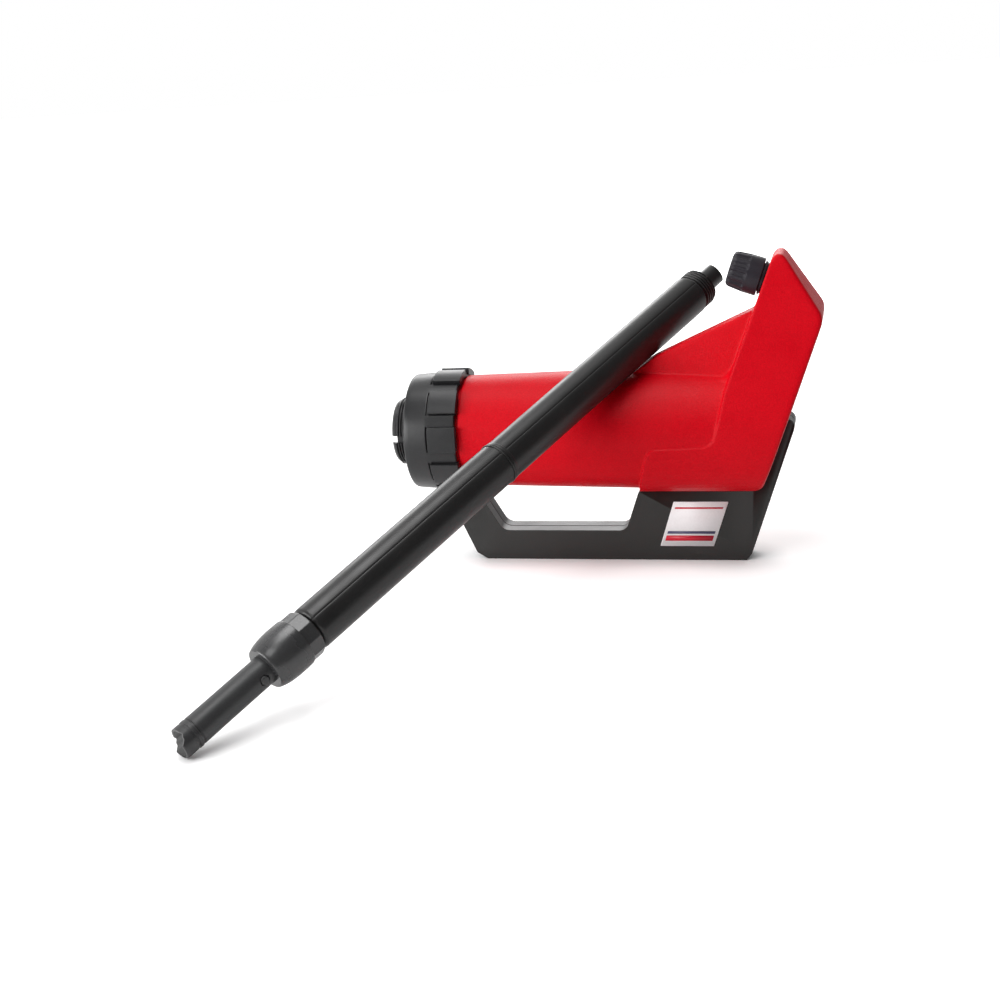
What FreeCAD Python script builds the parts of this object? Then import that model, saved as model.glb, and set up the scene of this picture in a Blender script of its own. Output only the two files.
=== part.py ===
import FreeCAD, Part
import math
import os

# A hand drum pump that stands on the flat edge of its D-handle, with its telescopic suction tube
# leaned on it. Millimetres. X runs along the pump's axis from the drum thread (-X) to the rod end
# (+X), Z is up, and the origin is the middle of the handle's flat resting face.

V = FreeCAD.Vector

# Pump body
AXIS_Z = 117.0
FRONT_X = -157.5
NECK_END_X = -125.0
BODY_R_FRONT = 48.5
BODY_R_HEAD = 52.6
BODY_R_END_X = 60.0
NECK_ROOT_R = 45.6
NECK_CREST_R = 47.0
NECK_PITCH = 6.0
CAVITY_R = 41.0
CAVITY_END_X = 113.0
WALL = 5.0

# Head, as a side outline in X and Z and a front outline in Y and Z
HEAD_BOTTOM_Z = 66.0
HEAD_HALF_WIDTH = 54.5
HEAD_TIP_HALF_WIDTH = 15.5
HEAD_TAPER_START_Z = 126.0
HEAD_TOP_Z = 270.0
HEAD_BELLY_R = 40.0
HEAD_SIDE = [
    (26.5, HEAD_BOTTOM_Z, 0.0),
    (38.5, 112.0, 8.0),
    (93.5, 117.0, 9.0),
    (103.5, 158.0, 0.0),
    (147.1, 274.7, 7.5),
    (184.8, 215.0, 12.0),
    (130.0, HEAD_BOTTOM_Z, 15.0),
]
HEAD_OUTER_EDGE_R = 8.0
HEAD_INNER_EDGE_R = 4.0

# Web between the cylinder and the head
FIN_HALF_WIDTH = 13.0
FIN_TOP = [(36.0, 173.8), (129.0, 217.4)]
FIN_EDGE_R = 4.0
FIN_WALL = 4.0

# Handle
GRIP_THICKNESS = 25.0
PLATE_TOP_Z = 63.0
ARM_LEAN = 0.3406
ARM_OUTER_X = 118.2
ARM_WIDTH = 17.0
ARM_TOP_Z = 127.5
GRIP_GAP_FLOOR_Z = 27.2
HANDLE_EDGE_R = 2.0
HANDLE_WALL = 3.5
SLOT_CLEARANCE = 1.5
SLOT_TOP_Z = 131.0

# Pump mechanism, stations along X from the drum end
BARREL_BORE_R = 27.0
BARREL_R = 30.0
SEAT_END_X = -149.5
BARREL_END_X = 56.0
GLAND_END_X = 112.0
ROD_R = 8.0
ROD_STEM_R = 6.0
ROD_END_X = 155.0
PISTON_X = -124.0
PISTON_LENGTH = 18.0
VALVE_THICKNESS = 2.0
VALVE_TRAVEL = 4.5
RUNNING_CLEARANCE = 0.05
PORT_X = 84.0

# Drum adaptor and collar: 2 inch pipe thread outside, 1 inch pipe thread inside
DRUM_THREAD_R = 29.8
DRUM_THREAD_ROOT_R = 28.4
DRUM_THREAD_PITCH = 2.309
ADAPTOR_END_X = -190.0
TUBE_SOCKET_R = 16.7
COLLAR_X = (-173.5, -125.3)
COLLAR_R = 51.7
COLLAR_PAD_R = 55.2
COLLAR_PADS = 10
COLLAR_PAD_X = -150.6
COLLAR_PAD_WIDTH = 22.4
COLLAR_FIRST_PAD_DEG = -6.6

# Outlet: 3/4 inch pipe thread
OUTLET_X = 136.2
OUTLET_Z = 244.0
OUTLET_TILT_DEG = 19.0
OUTLET_THREAD_R = 13.2
OUTLET_ROOT_R = 12.1
OUTLET_BORE_R = 9.0
CAP_R = 16.3
CAP_START = 3.8
CAP_LENGTH = 26.9
CAP_FLUTES = 14
CAP_FLUTE_R = 2.2
CAP_FLUTE_DEPTH = 1.1
CAP_FLUTE_LENGTH = 15.0
DUCT_R = 9.0
DUCT_BORE_R = 7.0

# Suction tube: l runs up along the tube from its foot
TUBE_FOOT = V(-238.8, -405.0, 13.3)
TUBE_HEAD = V(72.9, 69.2, 223.9)
TUBE_R = 17.0
LOWER_TUBE_R = 17.4
TUBE_BORE_R = 14.6
INNER_TUBE_R = 11.3
INNER_TUBE_BORE_R = 9.2
FOOT_START_L = -8.8
FOOT_END_L = 8.0
FOOT_LOBES = 3
FOOT_FIRST_NOTCH_DEG = 119.0
FOOT_NOTCH_HALF_WIDTH = 5.4
FOOT_NOTCH_END_L = -0.5
INNER_TUBE_END_L = 420.0
NUT_START_L = 75.5
NUT_END_L = 119.0
NUT_FIRST_FLAT_DEG = 7
LOWER_TUBE_START_L = 120.4
TUBE_JOINT_L = 333.0
THREAD_START_L = 594.0
THREAD_PITCH_TUBE = 2.7
TUBE_THREAD_R = 16.6
TUBE_THREAD_ROOT_R = 15.3
SPIGOT_END_L = 634.0
SPIGOT_R = 9.0
SPIGOT_SLANT_DEG = 38.0
SPIGOT_SLANT_TURN_DEG = 145.0
BUTTON_L = 67.0
BUTTON_TURN_DEG = 178.0
BUTTON_R = 3.6


def rounded_wire(corners, to_point):
    """A closed wire of straight lines whose corners (u, v, radius) are rounded by arcs."""
    flat = [V(u, v, 0) for u, v, _ in corners]
    stretches = []
    for i, (_, _, radius) in enumerate(corners):
        here = flat[i]
        to_prev = (flat[i - 1] - here).normalize()
        to_next = (flat[(i + 1) % len(flat)] - here).normalize()
        half = to_prev.getAngle(to_next) / 2
        if radius == 0:
            stretches.append((here, None, here))
            continue
        reach = radius / math.tan(half)
        middle = (to_prev + to_next).normalize()
        deepest = here + middle * (radius / math.sin(half) - radius)
        stretches.append((here + to_prev * reach, deepest, here + to_next * reach))
    edges = []
    for i, (start, deepest, end) in enumerate(stretches):
        if deepest is not None:
            arc = Part.Arc(to_point(start), to_point(deepest), to_point(end))
            edges.append(arc.toShape())
        following = stretches[(i + 1) % len(stretches)][0]
        edges.append(Part.LineSegment(to_point(end), to_point(following)).toShape())
    return Part.Wire(edges)


def side_plate(corners, y_from, y_to):
    """A plate whose outline lies in X and Z."""
    face = Part.Face(rounded_wire(corners, lambda p: V(p.x, y_from, p.y)))
    return face.extrude(V(0, y_to - y_from, 0))


def front_plate(corners, x_from, x_to):
    """A plate whose outline lies in Y and Z."""
    face = Part.Face(rounded_wire(corners, lambda p: V(x_from, p.x, p.y)))
    return face.extrude(V(x_to - x_from, 0, 0))


def sharp(points):
    return [(u, v, 0.0) for u, v in points]


def turned(outline):
    """A solid of revolution about Z from (z, radius) points."""
    points = [V(radius, 0, z) for z, radius in outline]
    face = Part.Face(Part.makePolygon(points + points[:1]))
    return face.revolve(V(0, 0, 0), V(0, 0, 1), 360)


def sleeve(z_from, z_to, outer, bore):
    return turned([(z_from, bore), (z_from, outer), (z_to, outer), (z_to, bore)])


def rod(z_from, z_to, radius):
    return Part.makeCylinder(radius, z_to - z_from, V(0, 0, z_from))


def hole_ring(count, ring_radius, hole_radius, z_from, z_to):
    holes = []
    for i in range(count):
        angle = math.radians(360 / count * i)
        centre = V(ring_radius * math.cos(angle), ring_radius * math.sin(angle), z_from)
        holes.append(Part.makeCylinder(hole_radius, z_to - z_from, centre))
    return Part.Compound(holes)


def ridges(z_from, pitch, count, root, crest):
    """Outline points of a run of thread ridges, root to root."""
    points = []
    for i in range(count):
        z = z_from + i * pitch
        points += [(z + 0.1 * pitch, root), (z + 0.4 * pitch, crest)]
        points += [(z + 0.6 * pitch, crest), (z + 0.9 * pitch, root)]
    return points


def o_ring(z, ring_radius, wire_radius):
    return Part.makeTorus(ring_radius, wire_radius, V(0, 0, z))


def across(x, z, radius, y_from, y_to):
    """A cylinder across the pump, along Y."""
    return Part.makeCylinder(radius, y_to - y_from, V(x, y_from, z), V(0, 1, 0))


def frame_along(origin, direction, near):
    """Local Z along direction, and local X as close to near as it can be."""
    x_axis = near - direction * near.dot(direction)
    x_axis.normalize()
    y_axis = direction.cross(x_axis)
    return FreeCAD.Placement(origin, FreeCAD.Rotation(x_axis, y_axis, direction, "ZXY"))


NEAR_SIDE = V(0, -1, 0)
PUMP = frame_along(V(0, 0, AXIS_Z), V(1, 0, 0), NEAR_SIDE)
OUTLET_TILT = math.radians(OUTLET_TILT_DEG)
OUTLET_DIRECTION = V(-math.cos(OUTLET_TILT), 0, math.sin(OUTLET_TILT))
OUTLET = frame_along(V(OUTLET_X, 0, OUTLET_Z), OUTLET_DIRECTION, NEAR_SIDE)
TUBE_DIRECTION = (TUBE_HEAD - TUBE_FOOT).normalize()
TUBE = frame_along(TUBE_FOOT, TUBE_DIRECTION, V(0, 0, 1).cross(TUBE_DIRECTION))


def set_in(shape, frame):
    placed = shape.copy()
    placed.Placement = frame
    return placed


def save(name, shape):
    shape = shape.removeSplitter()
    volume = sum(solid.Volume for solid in shape.Solids)
    print(f"{name:20s} solids {len(shape.Solids)} valid {shape.isValid()} {volume / 1000:.1f} cm3")
    shape.exportStep(f"parts/{name}.step")
    return shape


# Red body

BODY_SCREWS = [(-100, 152.6), (-100, 81.4), (10, 152.6), (10, 81.4), (171, 204), (150, 160)]
SCREW_R = 2.0
SCREW_HEAD_R = 3.6
BOSS_R = 5.2
RIB_X = (-70.0, 10.0, 62.0, 98.0)
RIB_WIDTH = 5.0


def arm_outer_x(z):
    return ARM_OUTER_X + ARM_LEAN * z


def head_front_outline(inset):
    """Half widths of the head against height: round belly, upright sides, tapered top."""
    wide = HEAD_HALF_WIDTH - inset
    tip = HEAD_TIP_HALF_WIDTH - inset
    low = HEAD_BOTTOM_Z + inset
    belly = HEAD_BELLY_R - inset
    return [
        (-wide, low, belly),
        (wide, low, belly),
        (wide, HEAD_TAPER_START_Z, 0.0),
        (tip, HEAD_TOP_Z, 0.0),
        (-tip, HEAD_TOP_Z, 0.0),
        (-wide, HEAD_TAPER_START_Z, 0.0),
    ]


def faces_across(face):
    """True where a face stands square to the side view."""
    u_min, u_max, v_min, v_max = face.ParameterRange
    return abs(face.normalAt((u_min + u_max) / 2, (v_min + v_max) / 2).y) < 1e-6


def outline_edges(solid):
    """Edges between the side outline and the front outline of the head."""
    edges = []
    for edge in solid.Edges:
        kinds = {faces_across(face) for face in solid.ancestorsOfType(edge, Part.Face)}
        if len(kinds) == 2:
            edges.append(edge)
    return edges


def rounded_head():
    side = side_plate(HEAD_SIDE, -HEAD_HALF_WIDTH - 5, HEAD_HALF_WIDTH + 5)
    front = front_plate(head_front_outline(0.0), 0, 200)
    head = side.common(front).Solids[0]
    outer = [e for e in outline_edges(head) if e.BoundBox.XMin > 122]
    head = head.makeFillet(HEAD_OUTER_EDGE_R, outer).Solids[0]
    inner = []
    for edge in head.Edges:
        bounds = edge.BoundBox
        one_sided = bounds.YMin > 1 or bounds.YMax < -1
        if one_sided and edge.Length > 2 and bounds.ZMin > 105 and 35 < bounds.XMin and bounds.XMax < 148:
            inner.append(edge)
    return head.makeFillet(HEAD_INNER_EDGE_R, inner)


def fin_outline(inset):
    (x0, z0), (x1, z1) = FIN_TOP
    slope = (z1 - z0) / (x1 - x0)
    drop = inset * math.hypot(1, slope)
    start = 10.0
    end = x1 + 6.0
    return [
        (start, 140.0, 0.0),
        (start, z0 + (start - x0) * slope - drop, 0.0),
        (end, z0 + (end - x0) * slope - drop, 0.0),
        (end, 140.0, 0.0),
    ]


def fin_solid():
    fin = side_plate(fin_outline(0.0), -FIN_HALF_WIDTH, FIN_HALF_WIDTH)
    top = [e for e in fin.Edges if e.BoundBox.XLength > 50 and e.BoundBox.ZLength > 20]
    return fin.makeFillet(FIN_EDGE_R, top)


def cylinder_and_neck():
    outline = [(FRONT_X, 0), (FRONT_X, NECK_ROOT_R)]
    outline += ridges(FRONT_X + 2.0, NECK_PITCH, 4, NECK_ROOT_R, NECK_CREST_R)
    outline += [(NECK_END_X, NECK_ROOT_R), (NECK_END_X, BODY_R_FRONT)]
    outline += [(BODY_R_END_X, BODY_R_HEAD), (110.0, BODY_R_HEAD), (110.0, 0)]
    return set_in(turned(outline), PUMP)


def slot(clearance):
    """The recess down the rod side that the handle's arm rests in."""
    floor_low = arm_outer_x(HEAD_BOTTOM_Z - 6) - ARM_WIDTH - clearance
    floor_high = arm_outer_x(SLOT_TOP_Z + clearance) - ARM_WIDTH - clearance
    outline = [
        (floor_low, HEAD_BOTTOM_Z - 6),
        (floor_high, SLOT_TOP_Z + clearance),
        (210, SLOT_TOP_Z + clearance),
        (210, HEAD_BOTTOM_Z - 6),
    ]
    reach = GRIP_THICKNESS / 2 + clearance
    return side_plate(sharp(outline), -reach, reach)


def body_cavity():
    bore = set_in(rod(FRONT_X, CAVITY_END_X, CAVITY_R), PUMP)
    side = Part.Face(rounded_wire(HEAD_SIDE, lambda p: V(p.x, -60, p.y))).makeOffset2D(-WALL)
    head = side.extrude(V(0, 120, 0)).common(front_plate(head_front_outline(WALL), 0, 200))
    head = head.cut(slot(SLOT_CLEARANCE + WALL))
    reach = FIN_HALF_WIDTH - FIN_WALL
    fin = side_plate(fin_outline(FIN_WALL + 1.0), -reach, reach)
    return bore.fuse(fin).fuse(head)


def body_shells():
    outer = cylinder_and_neck().fuse(rounded_head()).fuse(fin_solid())
    shell = outer.cut(body_cavity())
    supports = [across(x, z, BOSS_R, -60, 60) for x, z in BODY_SCREWS]
    supports += [set_in(rod(x, x + RIB_WIDTH, CAVITY_R + 2), PUMP) for x in RIB_X]
    for support in supports:
        shell = shell.fuse(support.common(outer))
    shell = shell.cut(set_in(rod(FRONT_X, CAVITY_END_X, BARREL_R + 0.3), PUMP))
    shell = shell.cut(slot(SLOT_CLEARANCE))
    shell = shell.cut(set_in(rod(CAVITY_END_X - 1, 150, 11.0), PUMP))
    shell = shell.cut(set_in(rod(-14, 4, OUTLET_THREAD_R + 0.1), OUTLET))
    shell = shell.cut(set_in(rod(-4.4, -1.6, OUTLET_THREAD_R + 2.7), OUTLET))
    shell = shell.cut(pipe_run(duct_points(), DUCT_R + 0.2))
    for x, z in BODY_SCREWS:
        shell = shell.cut(across(x, z, SCREW_R + 0.1, -16, 60))
        shell = shell.cut(across(x, z, SCREW_HEAD_R + 0.6, 12, 60))
    half = Part.makeBox(500, 100, 400, V(-250, -100, -20))
    left = shell.common(half)
    right = shell.cut(half)
    return left, right


def body_screws():
    screws = []
    for x, z in BODY_SCREWS:
        screw = across(x, z, SCREW_R, -14, 12).fuse(across(x, z, SCREW_HEAD_R, 12, 15))
        drive = Part.makeBox(1, 2, 5, V(x - 0.5, 13.6, z - 2.5))
        screws.append(screw.cut(drive))
    return Part.Compound(screws)


# Foot valve, barrel and gland, all on the pump's axis

VALVE_STOP_X = SEAT_END_X + VALVE_THICKNESS + VALVE_TRAVEL
GUIDE_R = 3.0
SEAL_WIRE_R = 1.5


def inlet_seat():
    seat = rod(FRONT_X, SEAT_END_X, CAVITY_R - 0.2)
    seat = seat.fuse(rod(SEAT_END_X, VALVE_STOP_X + 3.0, GUIDE_R))
    return seat.cut(hole_ring(8, 12.5, 3.6, FRONT_X - 1, SEAT_END_X + 1))


def inlet_valve_disc():
    bore = GUIDE_R + 0.4
    return sleeve(SEAT_END_X, SEAT_END_X + VALVE_THICKNESS, 18.5, bore)


def inlet_valve_stop():
    return sleeve(VALVE_STOP_X, VALVE_STOP_X + 1.5, 6.0, GUIDE_R)


def pump_barrel():
    barrel = sleeve(SEAT_END_X, BARREL_END_X, BARREL_R, BARREL_BORE_R)
    flange = sleeve(SEAT_END_X, SEAT_END_X + 4, CAVITY_R - 0.2, BARREL_R - 1)
    groove = sleeve(SEAT_END_X + 1.0, SEAT_END_X + 4 - 0.01, CAVITY_R, CAVITY_R - 2.5)
    return barrel.fuse(flange).cut(groove)


def barrel_seal():
    return o_ring(SEAT_END_X + 2.5, CAVITY_R - SEAL_WIRE_R + 0.4, 1.1)


def gland_block():
    """Closes the barrel, holds the rod's bush and seal, and turns the flow into the duct."""
    outline = [
        (BARREL_END_X - 8, 20.0),
        (BARREL_END_X - 8, BARREL_BORE_R - 0.05),
        (BARREL_END_X, BARREL_BORE_R - 0.05),
        (BARREL_END_X, BARREL_R),
        (GLAND_END_X, BARREL_R),
        (GLAND_END_X, 12.0),
        (96, 12.0),
        (96, 20.0),
    ]
    block = turned(outline)
    port = Part.makeCylinder(DUCT_BORE_R, 40, V(PORT_X, 0, AXIS_Z), V(0, 0, 1))
    return set_in(block, PUMP).cut(port)


def gland_bush():
    return sleeve(96, 104, 12.0, ROD_R + RUNNING_CLEARANCE)


def rod_seal():
    return sleeve(104, 107, 12.0, ROD_R + RUNNING_CLEARANCE)


def gland_nut():
    nut = sleeve(107, GLAND_END_X, 12.0, ROD_R + 0.5)
    return nut.fuse(sleeve(GLAND_END_X, 119, 10.6, ROD_R + 0.5))


def rod_wiper():
    return sleeve(119, 122, 10.9, ROD_R + RUNNING_CLEARANCE)


# Piston group, which moves with the handle

PISTON_END_X = PISTON_X + PISTON_LENGTH
PISTON_STOP_X = PISTON_END_X + VALVE_THICKNESS + VALVE_TRAVEL
PISTON_SEAL_X = (PISTON_X + 3.0, PISTON_X + 11.0)
PISTON_SEAL_WIDTH = 4.0
PIN_X = 149.5
PIN_R = 2.5


def piston_rod():
    stem = rod(PISTON_X - 9.5, PISTON_END_X, ROD_STEM_R)
    body = stem.fuse(rod(PISTON_END_X, ROD_END_X, ROD_R))
    return set_in(body, PUMP).cut(across(PIN_X, AXIS_Z, PIN_R, -12, 12))


def piston():
    body = sleeve(PISTON_X, PISTON_END_X, BARREL_BORE_R - 0.4, ROD_STEM_R)
    for x in PISTON_SEAL_X:
        groove = sleeve(x, x + PISTON_SEAL_WIDTH, BARREL_BORE_R, BARREL_BORE_R - 4.0)
        body = body.cut(groove)
    return body.cut(hole_ring(6, 15.5, 4.0, PISTON_X - 1, PISTON_END_X + 1))


def piston_seals():
    seal_r = BARREL_BORE_R - RUNNING_CLEARANCE
    inner_r = BARREL_BORE_R - 4.0
    rings = [sleeve(x, x + PISTON_SEAL_WIDTH, seal_r, inner_r) for x in PISTON_SEAL_X]
    return Part.Compound(rings)


def piston_valve_disc():
    return sleeve(PISTON_END_X, PISTON_END_X + VALVE_THICKNESS, 21.5, ROD_R + 0.4)


def valve_stop_ring():
    return sleeve(PISTON_STOP_X, PISTON_STOP_X + 2, 12.5, ROD_R)


def hexagon_prism(across_flats, z_from, z_to):
    corner = across_flats / 2 / math.cos(math.radians(30))
    points = []
    for i in range(6):
        angle = math.radians(60 * i)
        points.append(V(corner * math.cos(angle), corner * math.sin(angle), z_from))
    face = Part.Face(Part.makePolygon(points + points[:1]))
    return face.extrude(V(0, 0, z_to - z_from))


def piston_nut():
    return hexagon_prism(19.0, PISTON_X - 8, PISTON_X).cut(rod(PISTON_X - 9, PISTON_X + 1, ROD_STEM_R))


def rod_pin():
    return across(PIN_X, AXIS_Z, PIN_R, -9, 9)


# Handle: two halves, screwed from the far side

HANDLE_SCREWS = [(-126, 36), (17.5, 14), (112, 12), (142, 94)]
HANDLE_POCKETS = [
    [(-98, 7), (7, 7), (9, 20), (-91, 20)],
    [(28, 8), (102, 8), (118, 55), (42, 55)],
]


def handle_outline():
    arm_inner_top = arm_outer_x(ARM_TOP_Z) - ARM_WIDTH
    arm_inner_low = arm_outer_x(PLATE_TOP_Z) - ARM_WIDTH
    return [
        (-124.9, 6.0, 4.0),
        (-115.4, 0.0, 3.0),
        (ARM_OUTER_X - 3.0, 0.0, 1.0),
        (arm_outer_x(6.0), 6.0, 3.0),
        (arm_outer_x(ARM_TOP_Z), ARM_TOP_Z, 8.0),
        (arm_inner_top, ARM_TOP_Z, 4.0),
        (arm_inner_low, PLATE_TOP_Z, 3.0),
        (23.9, PLATE_TOP_Z, 3.0),
        (11.4, GRIP_GAP_FLOOR_Z, 8.0),
        (-99.4, GRIP_GAP_FLOOR_Z, 10.0),
        (-116.8, 58.0, 4.0),
        (-146.7, 58.0, 6.0),
    ]


def handle_half(outer_y):
    """One half of the handle, from the middle plane out to outer_y."""
    low, high = sorted((0.0, outer_y))
    body = side_plate(handle_outline(), low, high)
    rim = [e for e in body.Edges if e.BoundBox.YLength < 0.01 and abs(e.BoundBox.YMin - outer_y) < 0.01]
    body = body.makeFillet(HANDLE_EDGE_R, rim).Solids[0]
    inside = GRIP_THICKNESS / 2 - HANDLE_WALL
    for corners in HANDLE_POCKETS:
        body = body.cut(side_plate(sharp(corners), -inside, inside))
    body = body.cut(set_in(rod(130, ROD_END_X + 0.5, ROD_R + 0.02), PUMP))
    body = body.cut(across(PIN_X, AXIS_Z, PIN_R + 0.02, -9.2, 9.2))
    for x, z in HANDLE_SCREWS:
        body = body.cut(across(x, z, SCREW_R + 0.1, -9, 20))
        body = body.cut(across(x, z, SCREW_HEAD_R + 0.4, 9, 20))
    return body


def handle_left():
    return handle_half(-GRIP_THICKNESS / 2)


def handle_right():
    return handle_half(GRIP_THICKNESS / 2)


def handle_screws():
    screws = []
    for x, z in HANDLE_SCREWS:
        screw = across(x, z, SCREW_R, -8, 9).fuse(across(x, z, SCREW_HEAD_R, 9, 11.6))
        drive = Part.makeBox(1, 2, 5, V(x - 0.5, 10.4, z - 2.5))
        screws.append(screw.cut(drive))
    return Part.Compound(screws)


def label_plate():
    corners = [(54.0, 53.7, 0.6), (101.4, 53.7, 0.6), (87.6, 13.0, 0.6), (40.9, 13.0, 0.6)]
    face_y = -GRIP_THICKNESS / 2
    return side_plate(corners, face_y - 0.4, face_y)


# Drum adaptor and collar

FLANGE_X = (-167.0, -160.0)
SOCKET_START_X = -185.0
DRUM_LAND_X = -177.1
ADAPTOR_RIM_BORE_R = 25.2
ADAPTOR_NECK_R = 29.2
KEY_SLOT_WIDTH = 6.0


def adaptor_gasket():
    return sleeve(FLANGE_X[1], FRONT_X, 44.5, 34.0)


def drum_adaptor():
    outline = [
        (SOCKET_START_X, TUBE_SOCKET_R),
        (SOCKET_START_X, ADAPTOR_RIM_BORE_R),
        (ADAPTOR_END_X, ADAPTOR_RIM_BORE_R),
        (ADAPTOR_END_X, DRUM_THREAD_R - 3.5),
        (ADAPTOR_END_X + 2.0, DRUM_THREAD_R - 1.3),
        (ADAPTOR_END_X + 3.0, DRUM_THREAD_R),
    ]
    outline += ridges(ADAPTOR_END_X + 3.6, DRUM_THREAD_PITCH, 4, DRUM_THREAD_ROOT_R, DRUM_THREAD_R)
    outline += [(DRUM_LAND_X, DRUM_THREAD_ROOT_R), (DRUM_LAND_X, DRUM_THREAD_R)]
    outline += [(COLLAR_X[0], DRUM_THREAD_R), (COLLAR_X[0], ADAPTOR_NECK_R)]
    outline += [(FLANGE_X[0], ADAPTOR_NECK_R), (FLANGE_X[0], 45.5), (FLANGE_X[1], 45.5)]
    outline += [(FLANGE_X[1], TUBE_SOCKET_R)]
    body = turned(outline)
    slot_length = DRUM_LAND_X - ADAPTOR_END_X
    rim_notch = Part.makeBox(8, KEY_SLOT_WIDTH, 5, V(24, -KEY_SLOT_WIDTH / 2, ADAPTOR_END_X))
    slot_floor = V(DRUM_THREAD_ROOT_R - 0.6, -KEY_SLOT_WIDTH / 2, ADAPTOR_END_X)
    key_slot = Part.makeBox(3, KEY_SLOT_WIDTH, slot_length, slot_floor)
    return body.cut(rim_notch).cut(key_slot)


def collar_nut():
    start, end = COLLAR_X
    outline = [
        (start, DRUM_THREAD_R + 2.2),
        (start, COLLAR_R - 3.5),
        (start + 0.9, COLLAR_R - 1.9),
        (start + 2.5, COLLAR_R - 1.3),
        (start + 20.0, COLLAR_R),
        (end - 0.8, COLLAR_R),
        (end, COLLAR_R - 0.8),
        (end, NECK_CREST_R + 0.5),
        (FLANGE_X[0], NECK_CREST_R + 0.5),
        (FLANGE_X[0], DRUM_THREAD_R + 2.2),
    ]
    body = turned(outline)
    pad_length = end - COLLAR_PAD_X
    ring = sleeve(COLLAR_PAD_X, end - 0.01, COLLAR_PAD_R, COLLAR_R - 1.0)
    for i in range(COLLAR_PADS):
        block = Part.makeBox(12, COLLAR_PAD_WIDTH, pad_length, V(46, -COLLAR_PAD_WIDTH / 2, COLLAR_PAD_X))
        block.rotate(V(0, 0, 0), V(0, 0, 1), COLLAR_FIRST_PAD_DEG + 360 / COLLAR_PADS * i)
        body = body.fuse(block.common(ring))
    return body


# Outlet

CAP_END = CAP_START + CAP_LENGTH


def duct_points():
    inside = OUTLET.multVec(V(0, 0, -12.0))
    return [
        V(PORT_X, 0, AXIS_Z + BARREL_R - 1.0),
        V(PORT_X, 0, AXIS_Z + BARREL_R + 13.0),
        V(150.0, 0, 208.0),
        inside - OUTLET_DIRECTION * (DUCT_R + 0.2),
        inside,
    ]


def pipe_run(points, radius):
    run = Part.makeSphere(radius, points[1])
    for start, end in zip(points, points[1:]):
        length = (end - start).Length
        run = run.fuse(Part.makeCylinder(radius, length, start, end - start))
    for corner in points[2:-1]:
        run = run.fuse(Part.makeSphere(radius, corner))
    return run


def outlet_duct():
    points = duct_points()
    barrel_room = set_in(rod(60, 110, BARREL_R + 0.02), PUMP)
    bore_points = [points[0] - V(0, 0, 5)] + points[1:-1] + [points[-1] + OUTLET_DIRECTION * 5]
    return pipe_run(points, DUCT_R).cut(pipe_run(bore_points, DUCT_BORE_R)).cut(barrel_room)


def outlet_neck():
    outline = [(-12, DUCT_BORE_R), (-12, OUTLET_THREAD_R), (1.6, OUTLET_THREAD_R), (1.6, 14.2)]
    outline += [(3.4, 14.2), (3.4, OUTLET_ROOT_R)]
    outline += ridges(4.6, 3.0, 4, OUTLET_ROOT_R, OUTLET_THREAD_R)
    outline += [(18.0, OUTLET_ROOT_R), (18.0, OUTLET_BORE_R), (-6, OUTLET_BORE_R), (-6, DUCT_BORE_R)]
    return turned(outline)


def outlet_seal():
    return o_ring(-3.0, OUTLET_THREAD_R + 1.4, 1.2)


def cap_liner():
    return sleeve(18.0, 20.0, 13.0, 4.0)


def outlet_cap():
    outline = [
        (CAP_START, OUTLET_THREAD_R + 0.4),
        (CAP_START, CAP_R - 0.6),
        (CAP_START + 0.6, CAP_R),
        (CAP_END - 3.0, CAP_R - 0.6),
        (CAP_END - 0.9, CAP_R - 1.6),
        (CAP_END, CAP_R - 4.0),
        (CAP_END, 0),
        (20.0, 0),
        (20.0, OUTLET_THREAD_R + 0.4),
    ]
    body = turned(outline)
    for i in range(CAP_FLUTES):
        angle = math.radians(360 / CAP_FLUTES * i)
        reach = CAP_R + CAP_FLUTE_R - CAP_FLUTE_DEPTH
        centre = V(reach * math.cos(angle), reach * math.sin(angle), CAP_END - CAP_FLUTE_LENGTH)
        body = body.cut(Part.makeCylinder(CAP_FLUTE_R, 20, centre))
    return body


# Suction tube, in its own frame


def foot_strainer():
    """The castellated foot: a socket over the tube's end with three lobes and notches."""
    outline = [
        (FOOT_START_L, INNER_TUBE_BORE_R - 1.7),
        (FOOT_START_L, INNER_TUBE_R - 1.1),
        (FOOT_START_L + 2.2, INNER_TUBE_R + 0.2),
        (4.0, INNER_TUBE_R + 0.2),
        (4.6, INNER_TUBE_R + 0.6),
        (7.0, INNER_TUBE_R + 0.6),
        (FOOT_END_L, INNER_TUBE_R),
        (FOOT_END_L, INNER_TUBE_BORE_R - 0.1),
        (24.0, INNER_TUBE_BORE_R - 0.1),
        (24.0, 6.5),
        (0.0, 6.5),
        (0.0, INNER_TUBE_BORE_R - 1.7),
    ]
    body = turned(outline)
    half, low, high = FOOT_NOTCH_HALF_WIDTH, FOOT_START_L - 1, FOOT_NOTCH_END_L
    notch_points = [V(4, -half, low), V(4, half, low), V(4, 0.6, high), V(4, -0.6, high)]
    for i in range(FOOT_LOBES):
        face = Part.Face(Part.makePolygon(notch_points + notch_points[:1]))
        notch = face.extrude(V(10, 0, 0))
        notch.rotate(V(0, 0, 0), V(0, 0, 1), FOOT_FIRST_NOTCH_DEG + 360 / FOOT_LOBES * i)
        body = body.cut(notch)
    return body


def foot_ball():
    return Part.makeSphere(7.6, V(0, 0, 24.0 + 4.2))


def ball_cage():
    """Keeps the ball over the foot's seat and lets the liquid past."""
    body = sleeve(24.0, 48.0, INNER_TUBE_BORE_R - 0.1, 7.9)
    body = body.fuse(sleeve(46.0, 48.0, 7.9, 4.0))
    return body.cut(hole_ring(4, 8.0, 1.0, 26.0, 49.0))


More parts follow.
